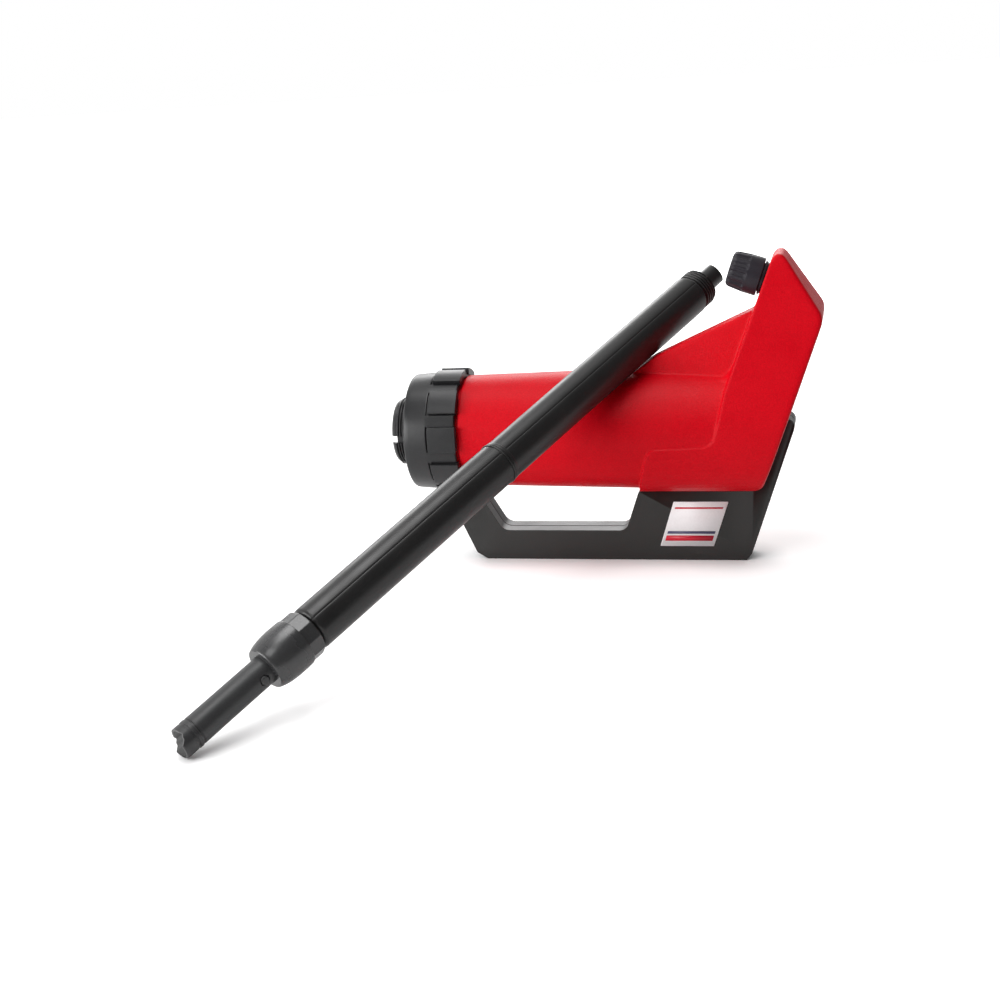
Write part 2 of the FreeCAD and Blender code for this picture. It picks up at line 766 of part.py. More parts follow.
def button_frame():
    angle = math.radians(BUTTON_TURN_DEG)
    outward = V(math.cos(angle), math.sin(angle), 0)
    return outward


def inner_tube():
    body = sleeve(FOOT_END_L, INNER_TUBE_END_L, INNER_TUBE_R, INNER_TUBE_BORE_R)
    outward = button_frame()
    hole = Part.makeCylinder(BUTTON_R + 0.35, 20, V(0, 0, BUTTON_L), outward)
    return body.cut(hole)


def tube_button():
    """Sprung button that stands out of the inner tube's wall."""
    outward = button_frame()
    head = Part.makeCylinder(BUTTON_R, INNER_TUBE_R + 0.9 - 6.0, V(0, 0, BUTTON_L) + outward * 6.0, outward)
    foot = Part.makeCylinder(BUTTON_R + 1.2, 1.6, V(0, 0, BUTTON_L) + outward * 5.0, outward)
    return head.fuse(foot)


def button_spring():
    """A coil between the inner tube's wall and the button, drawn as a plain sleeve."""
    outward = button_frame()
    start = V(0, 0, BUTTON_L) - outward * 8.4
    coil = Part.makeCylinder(BUTTON_R, 10.9, start, outward)
    return coil.cut(Part.makeCylinder(BUTTON_R - 1.0, 10.9, start, outward))


def stop_ring():
    return sleeve(INNER_TUBE_END_L - 12, INNER_TUBE_END_L, TUBE_BORE_R - 0.08, INNER_TUBE_R)


def lower_tube():
    outline = [
        (LOWER_TUBE_START_L - 16, INNER_TUBE_R + 1.2),
        (LOWER_TUBE_START_L - 16, TUBE_R - 2.6),
    ]
    outline += ridges(LOWER_TUBE_START_L - 15, 3.0, 4, TUBE_R - 2.6, TUBE_R - 1.6)
    outline += [
        (LOWER_TUBE_START_L - 0.4, TUBE_R - 2.6),
        (LOWER_TUBE_START_L, LOWER_TUBE_R - 1.6),
        (LOWER_TUBE_START_L + 1.6, LOWER_TUBE_R - 0.3),
        (LOWER_TUBE_START_L + 3.6, LOWER_TUBE_R),
        (TUBE_JOINT_L, LOWER_TUBE_R),
        (TUBE_JOINT_L, TUBE_BORE_R),
        (LOWER_TUBE_START_L + 6, TUBE_BORE_R),
        (LOWER_TUBE_START_L, INNER_TUBE_R + 1.2),
    ]
    return turned(outline)


def joint_ring():
    """The coupling between the lower and the upper tube."""
    outline = [
        (TUBE_JOINT_L, TUBE_R),
        (TUBE_JOINT_L, LOWER_TUBE_R + 0.5),
        (TUBE_JOINT_L + 1.2, LOWER_TUBE_R + 0.5),
        (TUBE_JOINT_L + 1.6, TUBE_R + 0.5),
        (TUBE_JOINT_L + 5.2, TUBE_R + 0.5),
        (TUBE_JOINT_L + 5.6, TUBE_R),
    ]
    return turned(outline)


def upper_tube():
    outline = [(TUBE_JOINT_L, TUBE_BORE_R), (TUBE_JOINT_L, TUBE_R), (THREAD_START_L, TUBE_R)]
    outline += ridges(THREAD_START_L, THREAD_PITCH_TUBE, 5, TUBE_THREAD_ROOT_R, TUBE_THREAD_R)
    thread_end = THREAD_START_L + 5 * THREAD_PITCH_TUBE
    outline += [(thread_end + 2.5, TUBE_THREAD_ROOT_R), (thread_end + 5.5, 12.8)]
    outline += [(thread_end + 5.5, SPIGOT_R + 0.02), (thread_end - 4, SPIGOT_R + 0.02)]
    outline += [(thread_end - 4, TUBE_BORE_R)]
    return turned(outline)


def tube_spigot():
    """The nozzle that leads from the tube into the pump's socket, cut off at a slant."""
    start = THREAD_START_L + 5 * THREAD_PITCH_TUBE - 4
    outline = [
        (start - 3, 6.8),
        (start - 3, TUBE_BORE_R - 0.05),
        (start, TUBE_BORE_R - 0.05),
        (start, SPIGOT_R),
        (SPIGOT_END_L - 5.0, SPIGOT_R),
        (SPIGOT_END_L - 4.4, SPIGOT_R + 0.3),
        (SPIGOT_END_L - 1.6, SPIGOT_R + 0.3),
        (SPIGOT_END_L, SPIGOT_R - 1.0),
        (SPIGOT_END_L, 6.8),
    ]
    beyond = Part.makeBox(60, 60, 30, V(-30, -30, 0))
    beyond.rotate(V(0, 0, 0), V(0, 1, 0), SPIGOT_SLANT_DEG)
    beyond.rotate(V(0, 0, 0), V(0, 0, 1), SPIGOT_SLANT_TURN_DEG)
    beyond.translate(V(0, 0, SPIGOT_END_L - 0.5))
    return turned(outline).cut(beyond)


def clamp_washer():
    return sleeve(NUT_START_L + 5.2, NUT_START_L + 7.2, 15.6, INNER_TUBE_R + 0.12)


def clamp_seal():
    return sleeve(NUT_START_L + 7.2, LOWER_TUBE_START_L - 16, 14.4, INNER_TUBE_R + 0.12)


def clamp_nut():
    outline = [
        (NUT_START_L, INNER_TUBE_R + 0.4),
        (NUT_START_L, 15.9),
        (NUT_START_L + 1.5, 16.4),
        (NUT_START_L + 3.4, 16.5),
        (NUT_START_L + 4.0, 17.6),
        (NUT_START_L + 9.0, 19.0),
        (NUT_START_L + 16.0, 19.7),
        (NUT_START_L + 25.0, 19.6),
        (NUT_START_L + 31.0, 19.2),
        (NUT_END_L - 1.0, 18.3),
        (NUT_END_L, 17.6),
        (NUT_END_L, TUBE_R - 1.3),
        (NUT_START_L + 5.2, TUBE_R - 1.3),
        (NUT_START_L + 5.2, INNER_TUBE_R + 0.4),
    ]
    body = turned(outline)
    for i in range(10):
        flat = Part.makeBox(6, 30, 20, V(18.3, -15, NUT_END_L - 12.5))
        flat.rotate(V(0, 0, 0), V(0, 0, 1), NUT_FIRST_FLAT_DEG + 36 * i)
        body = body.cut(flat)
    return body


def main():
    os.makedirs("parts", exist_ok=True)
    left, right = body_shells()
    save("body_shell_left", left)
    save("body_shell_right", right)
    save("body_screws", body_screws())
    save("handle_left", handle_left())
    save("handle_right", handle_right())
    save("handle_screws", handle_screws())
    save("label_plate", label_plate())
    save("piston_rod", piston_rod())
    save("rod_pin", rod_pin())
    save("gland_block", gland_block())
    save("outlet_duct", outlet_duct())
    on_pump_axis = [
        inlet_seat, inlet_valve_disc, inlet_valve_stop, pump_barrel, barrel_seal, gland_bush,
        rod_seal, gland_nut, rod_wiper, piston, piston_seals, piston_valve_disc, valve_stop_ring,
        piston_nut, adaptor_gasket, drum_adaptor, collar_nut,
    ]
    on_outlet = [outlet_neck, outlet_seal, cap_liner, outlet_cap]
    on_tube = [
        foot_strainer, foot_ball, ball_cage, inner_tube, tube_button, button_spring, stop_ring,
        lower_tube, joint_ring, upper_tube, tube_spigot, clamp_washer, clamp_seal, clamp_nut,
    ]
    for pieces, frame in ((on_pump_axis, PUMP), (on_outlet, OUTLET), (on_tube, TUBE)):
        for piece in pieces:
            save(piece.__name__, set_in(piece(), frame))


main()
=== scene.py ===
import math

import bmesh
import bpy
from mathutils import Matrix, Vector


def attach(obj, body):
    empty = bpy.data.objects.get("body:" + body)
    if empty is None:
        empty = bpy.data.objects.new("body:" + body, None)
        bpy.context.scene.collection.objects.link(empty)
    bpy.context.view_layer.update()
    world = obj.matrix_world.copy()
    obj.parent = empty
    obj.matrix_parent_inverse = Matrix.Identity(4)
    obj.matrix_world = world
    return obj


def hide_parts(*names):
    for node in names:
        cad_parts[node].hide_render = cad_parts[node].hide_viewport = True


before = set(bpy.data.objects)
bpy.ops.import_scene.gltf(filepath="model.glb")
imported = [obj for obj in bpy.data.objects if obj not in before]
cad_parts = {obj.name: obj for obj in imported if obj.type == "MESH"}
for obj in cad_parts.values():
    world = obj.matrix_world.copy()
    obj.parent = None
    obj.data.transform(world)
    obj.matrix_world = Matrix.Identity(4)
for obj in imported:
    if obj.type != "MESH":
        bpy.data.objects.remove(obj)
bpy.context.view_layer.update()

bl_info = {
    "name": "Drum Pump",
    "version": (1, 0, 0),
    "blender": (4, 5, 0),
    "location": "3D View > Sidebar > Drum Pump",
    "description": "Builds a hand drum pump standing on its handle, with its suction tube leaned on it",
    "category": "Add Mesh",
}

MM = 0.001
TURN = 2 * math.pi
NEAR_SIDE = Vector((0, -1, 0))


def frame_along(origin_mm, direction, near):
    """Matrix from millimetres in a local frame, Z along direction, to metres in the row frame."""
    z_axis = direction.normalized()
    x_axis = (near - z_axis * near.dot(z_axis)).normalized()
    y_axis = z_axis.cross(x_axis)
    turn = Matrix((x_axis, y_axis, z_axis)).transposed().to_4x4()
    return Matrix.Translation(Vector(origin_mm) * MM) @ turn @ Matrix.Scale(MM, 4)


ROW = Matrix.Scale(MM, 4)
AXIS_Z = 117.0
PUMP = frame_along((0, 0, AXIS_Z), Vector((1, 0, 0)), NEAR_SIDE)
OUTLET_TILT = math.radians(19)
OUTLET = frame_along(
    (136.2, 0, 244.0), Vector((-math.cos(OUTLET_TILT), 0, math.sin(OUTLET_TILT))), NEAR_SIDE
)
TUBE_FOOT = Vector((-238.8, -405.0, 13.3))
TUBE_HEAD = Vector((72.9, 69.2, 223.9))
TUBE_DIRECTION = (TUBE_HEAD - TUBE_FOOT).normalized()
TUBE = frame_along(TUBE_FOOT, TUBE_DIRECTION, Vector((0, 0, 1)).cross(TUBE_DIRECTION))


class PumpSizes(bpy.types.PropertyGroup):
    """Sizes a user may change without leaving the frame the pieces ride on."""

    body_voxel: bpy.props.FloatProperty(
        name="Body mesh size", description="Size of the faces the moulded body is made of",
        default=0.95 * MM, min=0.8 * MM, max=4 * MM, unit="LENGTH", precision=5,
    )
    edge_round: bpy.props.FloatProperty(
        name="Handle edge radius", description="Rounding of the handle's outer edges",
        default=1.6 * MM, min=0.5 * MM, max=3 * MM, unit="LENGTH", precision=5,
    )
    pad_round: bpy.props.FloatProperty(
        name="Collar pad rounding", description="Rounding of the edges of the collar's pads",
        default=0.5 * MM, min=0.1 * MM, max=2 * MM, unit="LENGTH", precision=5,
    )
    tube_radius: bpy.props.FloatProperty(
        name="Tube radius", description="Outer radius of the large suction tube",
        default=17.4 * MM, min=15 * MM, max=17.5 * MM, unit="LENGTH", precision=5,
    )
    cap_flutes: bpy.props.IntProperty(
        name="Cap flutes", description="Grip flutes round the outlet's cap", default=12, min=6, max=40,
    )


def colour_property(name, description, default):
    return bpy.props.FloatVectorProperty(
        name=name, description=description, default=default, size=3, min=0, max=1, subtype="COLOR",
    )


class PumpColours(bpy.types.PropertyGroup):
    """Base colours of the finishes."""

    body_red: colour_property("Body red", "Moulded body", (0.575, 0.0010, 0.0080))
    handle_black: colour_property("Handle black", "Moulded handle", (0.022, 0.0215, 0.0205))
    collar_black: colour_property("Collar black", "Collar nut and drum adaptor", (0.017, 0.017, 0.018))
    tube_black: colour_property("Tube black", "Large suction tube", (0.013, 0.0125, 0.0125))
    inner_tube_grey: colour_property(
        "Inner tube grey", "Thin inner tube and clamp nut", (0.032, 0.032, 0.033)
    )
    cap_black: colour_property("Cap black", "Outlet cap", (0.022, 0.019, 0.025))
    label_white: colour_property("Label white", "Ground of the sticker", (0.95, 0.94, 0.96))
    label_red: colour_property("Label red", "Plain bands of the sticker", (0.62, 0.012, 0.035))
    label_blue: colour_property("Label blue", "Plain band of the sticker", (0.07, 0.07, 0.15))
    floor_white: colour_property("Floor white", "Floor and backdrop", (0.90, 0.90, 0.90))


# Mesh helpers


def new_bmesh():
    return bmesh.new()


def wire_of(bm, points):
    """An open chain of edges through (z, radius) points in the local XZ plane."""
    verts = [bm.verts.new((radius, 0, z)) for z, radius in points]
    for start, end in zip(verts, verts[1:]):
        bm.edges.new((start, end))
    return verts


def turned(points, steps=96):
    """A solid of revolution about local Z from (z, radius) points."""
    bm = new_bmesh()
    wire_of(bm, points)
    bmesh.ops.spin(
        bm, geom=bm.verts[:] + bm.edges[:], cent=(0, 0, 0), axis=(0, 0, 1), angle=TURN,
        steps=steps, use_merge=True, use_duplicate=False,
    )
    bmesh.ops.remove_doubles(bm, verts=bm.verts, dist=1e-4)
    bmesh.ops.dissolve_degenerate(bm, dist=1e-5, edges=bm.edges)
    outwards(bm)
    return bm


def outwards(bm):
    bmesh.ops.recalc_face_normals(bm, faces=bm.faces)


def plate(outline, low, high, steps=6):
    """A prism whose (x, z, radius) outline lies in the local XZ plane, from y low to y high."""
    bm = new_bmesh()
    verts = [bm.verts.new((x, low, z)) for x, z, _ in outline]
    face = bm.faces.new(verts)
    grown = bmesh.ops.extrude_face_region(bm, geom=[face])
    moved = [g for g in grown["geom"] if isinstance(g, bmesh.types.BMVert)]
    bmesh.ops.translate(bm, verts=moved, vec=(0, high - low, 0))
    outwards(bm)
    for x, z, radius in outline:
        if radius == 0:
            continue
        edge = next(
            e for e in bm.edges
            if all(abs(v.co.x - x) < 1e-3 and abs(v.co.z - z) < 1e-3 for v in e.verts)
        )
        turn = edge.calc_face_angle(0.0)
        bmesh.ops.bevel(
            bm, geom=[edge], offset=radius * math.tan(turn / 2), segments=steps, profile=0.5,
            affect="EDGES", material=-1, clamp_overlap=False,
        )
    outwards(bm)
    return bm


def cut_away(bm, point, normal):
    """Removes what lies beyond a plane and closes the cut."""
    geometry = bm.verts[:] + bm.edges[:] + bm.faces[:]
    cut = bmesh.ops.bisect_plane(
        bm, geom=geometry, dist=1e-5, plane_co=point, plane_no=normal, clear_outer=True,
    )
    edges = [g for g in cut["geom_cut"] if isinstance(g, bmesh.types.BMEdge)]
    if edges:
        bmesh.ops.holes_fill(bm, edges=edges, sides=0)
    outwards(bm)


def round_edges(bm, edges, radius, steps=3):
    bmesh.ops.bevel(
        bm, geom=list(edges), offset=radius, segments=steps, profile=0.5, affect="EDGES",
        material=-1, clamp_overlap=True,
    )


def join_into(bm, *others):
    """Adds copies of other meshes to bm and frees them."""
    for other in others:
        mesh = bpy.data.meshes.new("part")
        other.to_mesh(mesh)
        other.free()
        bm.from_mesh(mesh)
        bpy.data.meshes.remove(mesh)
    return bm


def make_object(bm, name, place):
    bmesh.ops.transform(bm, matrix=place, verts=bm.verts)
    outwards(bm)
    mesh = bpy.data.meshes.new(name)
    bm.to_mesh(mesh)
    bm.free()
    for polygon in mesh.polygons:
        polygon.use_smooth = True
    made = bpy.data.objects.new(name, mesh)
    bpy.context.scene.collection.objects.link(made)
    return made


def settled(made):
    """Applies an object's modifiers to its mesh."""
    graph = bpy.context.evaluated_depsgraph_get()
    mesh = bpy.data.meshes.new_from_object(made.evaluated_get(graph))
    made.modifiers.clear()
    made.data = mesh
    return made


def boolean(made, cutter, operation="DIFFERENCE"):
    change = made.modifiers.new("cut", "BOOLEAN")
    change.operation = operation
    change.object = cutter
    change.solver = "EXACT"
    settled(made)
    bpy.data.objects.remove(cutter)


def soften(made, width_mm, steps=2, angle=30):
    """Rounds sharp edges and evens out the shading."""
    bevel = made.modifiers.new("edges", "BEVEL")
    bevel.width = width_mm * MM
    bevel.segments = steps
    bevel.limit_method = "ANGLE"
    bevel.angle_limit = math.radians(angle)
    bevel.miter_outer = "MITER_ARC"
    shading = made.modifiers.new("shading", "WEIGHTED_NORMAL")
    shading.keep_sharp = True
    return made


def dress(made, body, material, slot, *nodes):
    made.data.materials.clear()
    made.data.materials.append(material)
    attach(made, body)
    if nodes:
        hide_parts(*nodes)
    return made


def thread_wave(position, start, pitch, turns, root, crest, angle):
    """Radius of a helical thread at a place along and round it."""
    along = (position - start) / pitch - angle / TURN
    if along < 0 or along > turns:
        return root
    phase = abs((along % 1.0) - 0.5) * 2
    height = min(1.0, max(0.0, (1 - phase) * 2.2 - 0.5))
    return root + (crest - root) * height


# Finishes


def group_tree(name, inputs, outputs):
    tree = bpy.data.node_groups.new(name, "ShaderNodeTree")
    for label, kind, default in inputs:
        socket = tree.interface.new_socket(name=label, in_out="INPUT", socket_type=kind)
        if default is not None:
            socket.default_value = default
    for label, kind in outputs:
        tree.interface.new_socket(name=label, in_out="OUTPUT", socket_type=kind)
    return tree, tree.nodes.new("NodeGroupInput"), tree.nodes.new("NodeGroupOutput")


def math_node(nodes, operation, *values):
    """A math node whose first inputs hold the values."""
    node = nodes.new("ShaderNodeMath")
    node.operation = operation
    for socket, value in zip(node.inputs, values):
        socket.default_value = value
    return node


def range_node(nodes, low, high, to_low=0.0, to_high=1.0, eased=False):
    """A map range node that spreads low to high over to_low to to_high."""
    node = nodes.new("ShaderNodeMapRange")
    if eased:
        node.interpolation_type = "SMOOTHSTEP"
    node.inputs["From Min"].default_value = low
    node.inputs["From Max"].default_value = high
    node.inputs["To Min"].default_value = to_low
    node.inputs["To Max"].default_value = to_high
    return node


def noise_node(nodes, detail, roughness=0.5, scale=5.0):
    node = nodes.new("ShaderNodeTexNoise")
    node.inputs["Detail"].default_value = detail
    node.inputs["Roughness"].default_value = roughness
    node.inputs["Scale"].default_value = scale
    return node


def grain_group():
    """Moulded grain: a height made of fine pebbles, and a slow mottle."""
    tree, given, result = group_tree(
        "Moulded grain",
        [("Size", "NodeSocketFloat", 1.0), ("Mottle size", "NodeSocketFloat", 20.0)],
        [("Height", "NodeSocketFloat"), ("Mottle", "NodeSocketFloat")],
    )
    nodes, links = tree.nodes, tree.links
    place = nodes.new("ShaderNodeTexCoord")
    fine = noise_node(nodes, detail=3.0, roughness=0.6)
    slow = noise_node(nodes, detail=4.0)
    scale = math_node(nodes, "DIVIDE", 1 / MM)
    slow_scale = math_node(nodes, "DIVIDE", 1 / MM)
    links.new(given.outputs["Size"], scale.inputs[1])
    links.new(given.outputs["Mottle size"], slow_scale.inputs[1])
    links.new(scale.outputs[0], fine.inputs["Scale"])
    links.new(slow_scale.outputs[0], slow.inputs["Scale"])
    links.new(place.outputs["Object"], fine.inputs["Vector"])
    links.new(place.outputs["Object"], slow.inputs["Vector"])
    links.new(fine.outputs["Fac"], result.inputs["Height"])
    links.new(slow.outputs["Fac"], result.inputs["Mottle"])
    return tree


def wear_group():
    """Scuffs: thin scratches and rubbed patches as a mask from 0 to 1."""
    tree, given, result = group_tree(
        "Handling wear",
        [("Amount", "NodeSocketFloat", 0.3)],
        [("Mask", "NodeSocketFloat")],
    )
    nodes, links = tree.nodes, tree.links
    place = nodes.new("ShaderNodeTexCoord")
    stretch = nodes.new("ShaderNodeMapping")
    stretch.inputs["Scale"].default_value = (60.0, 900.0, 240.0)
    stretch.inputs["Rotation"].default_value = (0.3, 0.5, 0.8)
    scratches = noise_node(nodes, detail=5.0, scale=1.0)
    patches = noise_node(nodes, detail=6.0, scale=22.0)
    narrow = range_node(nodes, 0.62, 0.72)
    broad = range_node(nodes, 0.48, 0.75)
    both = math_node(nodes, "MULTIPLY")
    strength = math_node(nodes, "MULTIPLY")
    strength.use_clamp = True
    links.new(place.outputs["Object"], stretch.inputs["Vector"])
    links.new(stretch.outputs["Vector"], scratches.inputs["Vector"])
    links.new(place.outputs["Object"], patches.inputs["Vector"])
    links.new(scratches.outputs["Fac"], narrow.inputs["Value"])
    links.new(patches.outputs["Fac"], broad.inputs["Value"])
    links.new(narrow.outputs["Result"], both.inputs[0])
    links.new(broad.outputs["Result"], both.inputs[1])
    links.new(both.outputs[0], strength.inputs[0])
    links.new(given.outputs["Amount"], strength.inputs[1])
    links.new(strength.outputs[0], result.inputs["Mask"])
    return tree


def shared_group(name, build):
    return bpy.data.node_groups.get(name) or build()


ROUGHNESS_SPREAD = 0.12


def moulded(
    name, colour, roughness, grain_mm, bump_mm, light=None, wear=0.3, specular=0.5, speckle=0.1
):
    """A moulded plastic: grain in the normal and colour, slow mottle, light scuffs."""
    known = bpy.data.materials.get(name)
    if known:
        return known
    material = bpy.data.materials.new(name)
    material.use_nodes = True
    nodes, links = material.node_tree.nodes, material.node_tree.links
    shader = nodes["Principled BSDF"]
    shader.inputs["Specular IOR Level"].default_value = specular
    grain = nodes.new("ShaderNodeGroup")
    grain.node_tree = shared_group("Moulded grain", grain_group)
    grain.inputs["Size"].default_value = grain_mm
    grain.inputs["Mottle size"].default_value = 30.0
    scuffs = nodes.new("ShaderNodeGroup")
    scuffs.node_tree = shared_group("Handling wear", wear_group)
    scuffs.inputs["Amount"].default_value = wear
    tint = nodes.new("ShaderNodeMix")
    tint.data_type = "RGBA"
    tint.inputs["A"].default_value = (*[c * 0.92 for c in colour], 1)
    tint.inputs["B"].default_value = (*[min(1, c * 1.08) for c in colour], 1)
    shade = range_node(nodes, 0.35, 0.65, 1.0 - speckle, 1.0 + speckle)
    grained = nodes.new("ShaderNodeMix")
    grained.data_type = "RGBA"
    grained.blend_type = "MULTIPLY"
    grained.inputs["Factor"].default_value = 1.0
    worn = nodes.new("ShaderNodeMix")
    worn.data_type = "RGBA"
    pale = light or [min(1, c * 1.8 + 0.03) for c in colour]
    worn.inputs["B"].default_value = (*pale, 1)
    rough = range_node(nodes, 0.0, 1.0, roughness - ROUGHNESS_SPREAD, roughness + ROUGHNESS_SPREAD)
    bump = nodes.new("ShaderNodeBump")
    bump.inputs["Strength"].default_value = 1.0
    bump.inputs["Distance"].default_value = bump_mm * MM
    links.new(grain.outputs["Mottle"], tint.inputs["Factor"])
    links.new(grain.outputs["Height"], shade.inputs["Value"])
    links.new(tint.outputs["Result"], grained.inputs["A"])
    links.new(shade.outputs["Result"], grained.inputs["B"])
    links.new(grained.outputs["Result"], worn.inputs["A"])
    links.new(scuffs.outputs["Mask"], worn.inputs["Factor"])
    links.new(worn.outputs["Result"], shader.inputs["Base Color"])
    links.new(grain.outputs["Mottle"], rough.inputs["Value"])
    links.new(rough.outputs["Result"], shader.inputs["Roughness"])
    links.new(grain.outputs["Height"], bump.inputs["Height"])
    links.new(bump.outputs["Normal"], shader.inputs["Normal"])
    return material


def steel(name, colour=(0.55, 0.55, 0.56), roughness=0.3):
    known = bpy.data.materials.get(name)
    if known:
        return known
    material = moulded(name, colour, roughness, 0.4, 0.01, wear=0.1)
    material.node_tree.nodes["Principled BSDF"].inputs["Metallic"].default_value = 1.0
    return material


def finish(key):
    colours = bpy.context.scene.pump_colours
    made = {
        "red": lambda: moulded(
            "Red moulding", colours.body_red, 0.38, 1.2, 0.26, wear=0.03, specular=0.10, speckle=0.09
        ),
        "handle": lambda: moulded(
            "Black handle moulding", colours.handle_black, 0.38, 0.9, 0.06, wear=0.15, specular=0.45
        ),
        "collar": lambda: moulded(
            "Black collar moulding", colours.collar_black, 0.34, 0.9, 0.06, wear=0.4, specular=0.38
        ),
        "tube": lambda: moulded(
            "Black tube", colours.tube_black, 0.34, 1.6, 0.02, wear=0.25, specular=0.45
        ),
        "inner": lambda: moulded("Grey inner tube", colours.inner_tube_grey, 0.38, 1.0, 0.02, wear=0.4),
        "nut": lambda: moulded(
            "Grey clamp nut", colours.inner_tube_grey, 0.27, 1.2, 0.03, wear=0.6, specular=0.7
        ),
        "cap": lambda: moulded(
            "Black cap moulding", colours.cap_black, 0.42, 0.8, 0.03, wear=0.3, specular=0.25
        ),
        "inside": lambda: moulded("Natural plastic", (0.62, 0.61, 0.57), 0.4, 1.0, 0.02),
        "rubber": lambda: moulded("Seal rubber", (0.022, 0.022, 0.022), 0.7, 0.6, 0.03, wear=0.1),
        "steel": lambda: steel("Stainless steel"),
        "zinc": lambda: steel("Zinc plated steel", (0.6, 0.6, 0.62), 0.35),
        "label": lambda: vinyl("White sticker", colours.label_white),
        "label red": lambda: vinyl("Red print", colours.label_red),
        "label blue": lambda: vinyl("Blue print", colours.label_blue),
    }
    return made[key]()


def vinyl(name, colour):
    pale = [min(1, c * 0.85 + 0.05) for c in colour]
    return moulded(name, colour, 0.35, 2.0, 0.01, light=pale, wear=0.15, speckle=0.02)


# Body

HEAD_FOOT_Z = 66.0
HEAD_SIDE = [
    (26.5, HEAD_FOOT_Z, 0.0),
    (38.5, 112.0, 11.0),
    (93.5, 113.8, 12.0),
    (103.5, 158.0, 0.0),
    (147.1, 274.7, 7.5),
    (184.8, 215.0, 12.0),
    (130.0, HEAD_FOOT_Z, 15.0),
]
HEAD_HALF = 54.5
HEAD_TIP_HALF = 15.5
HEAD_TAPER_Z = 126.0
HEAD_TOP_Z = 270.0
HEAD_EDGE_R = 3.0
SHOULDER_R = 170.0
BELLY_R = 40.0
BODY_SCREWS = [(-100, 152.6), (-100, 81.4), (10, 152.6), (10, 81.4), (171, 204), (150, 160)]
FIN_TOP = ((10.0, 166.6), (136.0, 224.2))
FIN_REST = (43.0, 181.7)
FIN_REST_SLOPE = 0.68
BARREL_BORE_R = 41
BODY_SCREW_RECESS_R = 4.2
SOFT_RIM = 14
FIN_TOP_HALF = 8.5
FIN_DRAFT = 0.24


def back_edge_x(z):
    low, top, back = HEAD_SIDE[6], HEAD_SIDE[4], HEAD_SIDE[5]
    leaning = low[0] + (z - low[1]) * (back[0] - low[0]) / (back[1] - low[1])
    chamfer = back[0] + (z - back[1]) * (top[0] - back[0]) / (top[1] - back[1])
    return min(leaning, chamfer)


def head_mesh():
    bm = plate(HEAD_SIDE, -HEAD_HALF, HEAD_HALF, steps=8)
    rise = HEAD_TOP_Z - HEAD_TAPER_Z
    narrowing = HEAD_HALF - HEAD_TIP_HALF
    lean = math.atan2(narrowing, rise)
    for side in (-1, 1):
        cut_away(bm, (0, side * HEAD_HALF, HEAD_TAPER_Z), (0, side * rise, narrowing))
        shoulder_z = HEAD_TAPER_Z - SHOULDER_R * math.tan(lean / 2)
        shoulder = Vector((0, side * (HEAD_HALF - SHOULDER_R), shoulder_z))
        for step in range(1, 6):
            normal = Vector((0, side * math.cos(lean * step / 6), math.sin(lean * step / 6)))
            cut_away(bm, shoulder + normal * SHOULDER_R, normal)
        centre = Vector((0, side * (HEAD_HALF - BELLY_R), HEAD_FOOT_Z + BELLY_R))
        for step in range(1, 10):
            angle = math.radians(9 * step)
            normal = Vector((0, side * math.sin(angle), -math.cos(angle)))
            cut_away(bm, centre + normal * BELLY_R, normal)
    ridge = []
    for edge in bm.edges:
        if min(v.co.z for v in edge.verts) < 116 or len(edge.link_faces) != 2:
            continue
        first, second = (face.normal for face in edge.link_faces)
        if min(first.x, second.x) < -0.7 and max(abs(first.y), abs(second.y)) > 0.8:
            ridge.append(edge)
    round_edges(bm, ridge, HEAD_EDGE_R * 0.85, 6)
    return bm


def flare_mesh():
    """Hollow rounding between the barrel's top and the head's wall."""
    arc = [math.radians(-90 + 69.5 * step / 8) for step in range(9)]
    hollow = [(97.7 + 12 * math.cos(a), 64.6 + 12 * math.sin(a)) for a in arc]
    bm = turned([(88, 40)] + [(88, 52.4)] + hollow + [(114, 60.4), (114, 40), (88, 40)], steps=160)
    bmesh.ops.transform(bm, matrix=ROW.inverted() @ PUMP, verts=bm.verts)
    for side in (-1, 1):
        cut_away(bm, (0, side * 24, 163), (0, side * 0.8, -0.6))
    cut_away(bm, (0, 0, 150), (0, 0, -1))
    return bm


def fin_mesh():
    """Web between the cylinder and the head, lower where the suction tube lies over it."""
    (x_low, z_low), (x_high, z_high) = FIN_TOP
    bm = plate([(x_low, 140, 0), (x_low, z_low, 0), (x_high, z_high, 0), (x_high, 140, 0)], -1, 1)
    for vert in bm.verts:
        top = z_low if vert.co.x < 50 else z_high
        vert.co.y *= FIN_TOP_HALF + FIN_DRAFT * (top - vert.co.z)
    ridge = [
        e for e in bm.edges
        if abs(e.verts[0].co.x - e.verts[1].co.x) > 50 and min(v.co.z for v in e.verts) > 145
    ]
    round_edges(bm, ridge, 2.0, 4)
    cut_away(bm, (FIN_REST[0], 0, FIN_REST[1]), (-FIN_REST_SLOPE, 0, 1))
    return bm


def slot_cutter():
    outline = [(120.1, 60, 0), (144.8, 132.5, 0), (215, 132.5, 0), (215, 60, 0)]
    return plate(outline, -14.0, 14.0)


def holes_across(places, radius, low, high):
    """Cylinders along Y at (x, z) places, used to cut the screws' recesses."""
    bm = new_bmesh()
    for x, z in places:
        made = bmesh.ops.create_cone(
            bm, cap_ends=True, segments=32, radius1=radius, radius2=radius, depth=high - low,
            matrix=Matrix.Translation((x, (low + high) / 2, z)) @ Matrix.Rotation(math.pi / 2, 4, "X"),
        )
        bmesh.ops.recalc_face_normals(bm, faces=list({f for v in made["verts"] for f in v.link_faces}))
    return bm


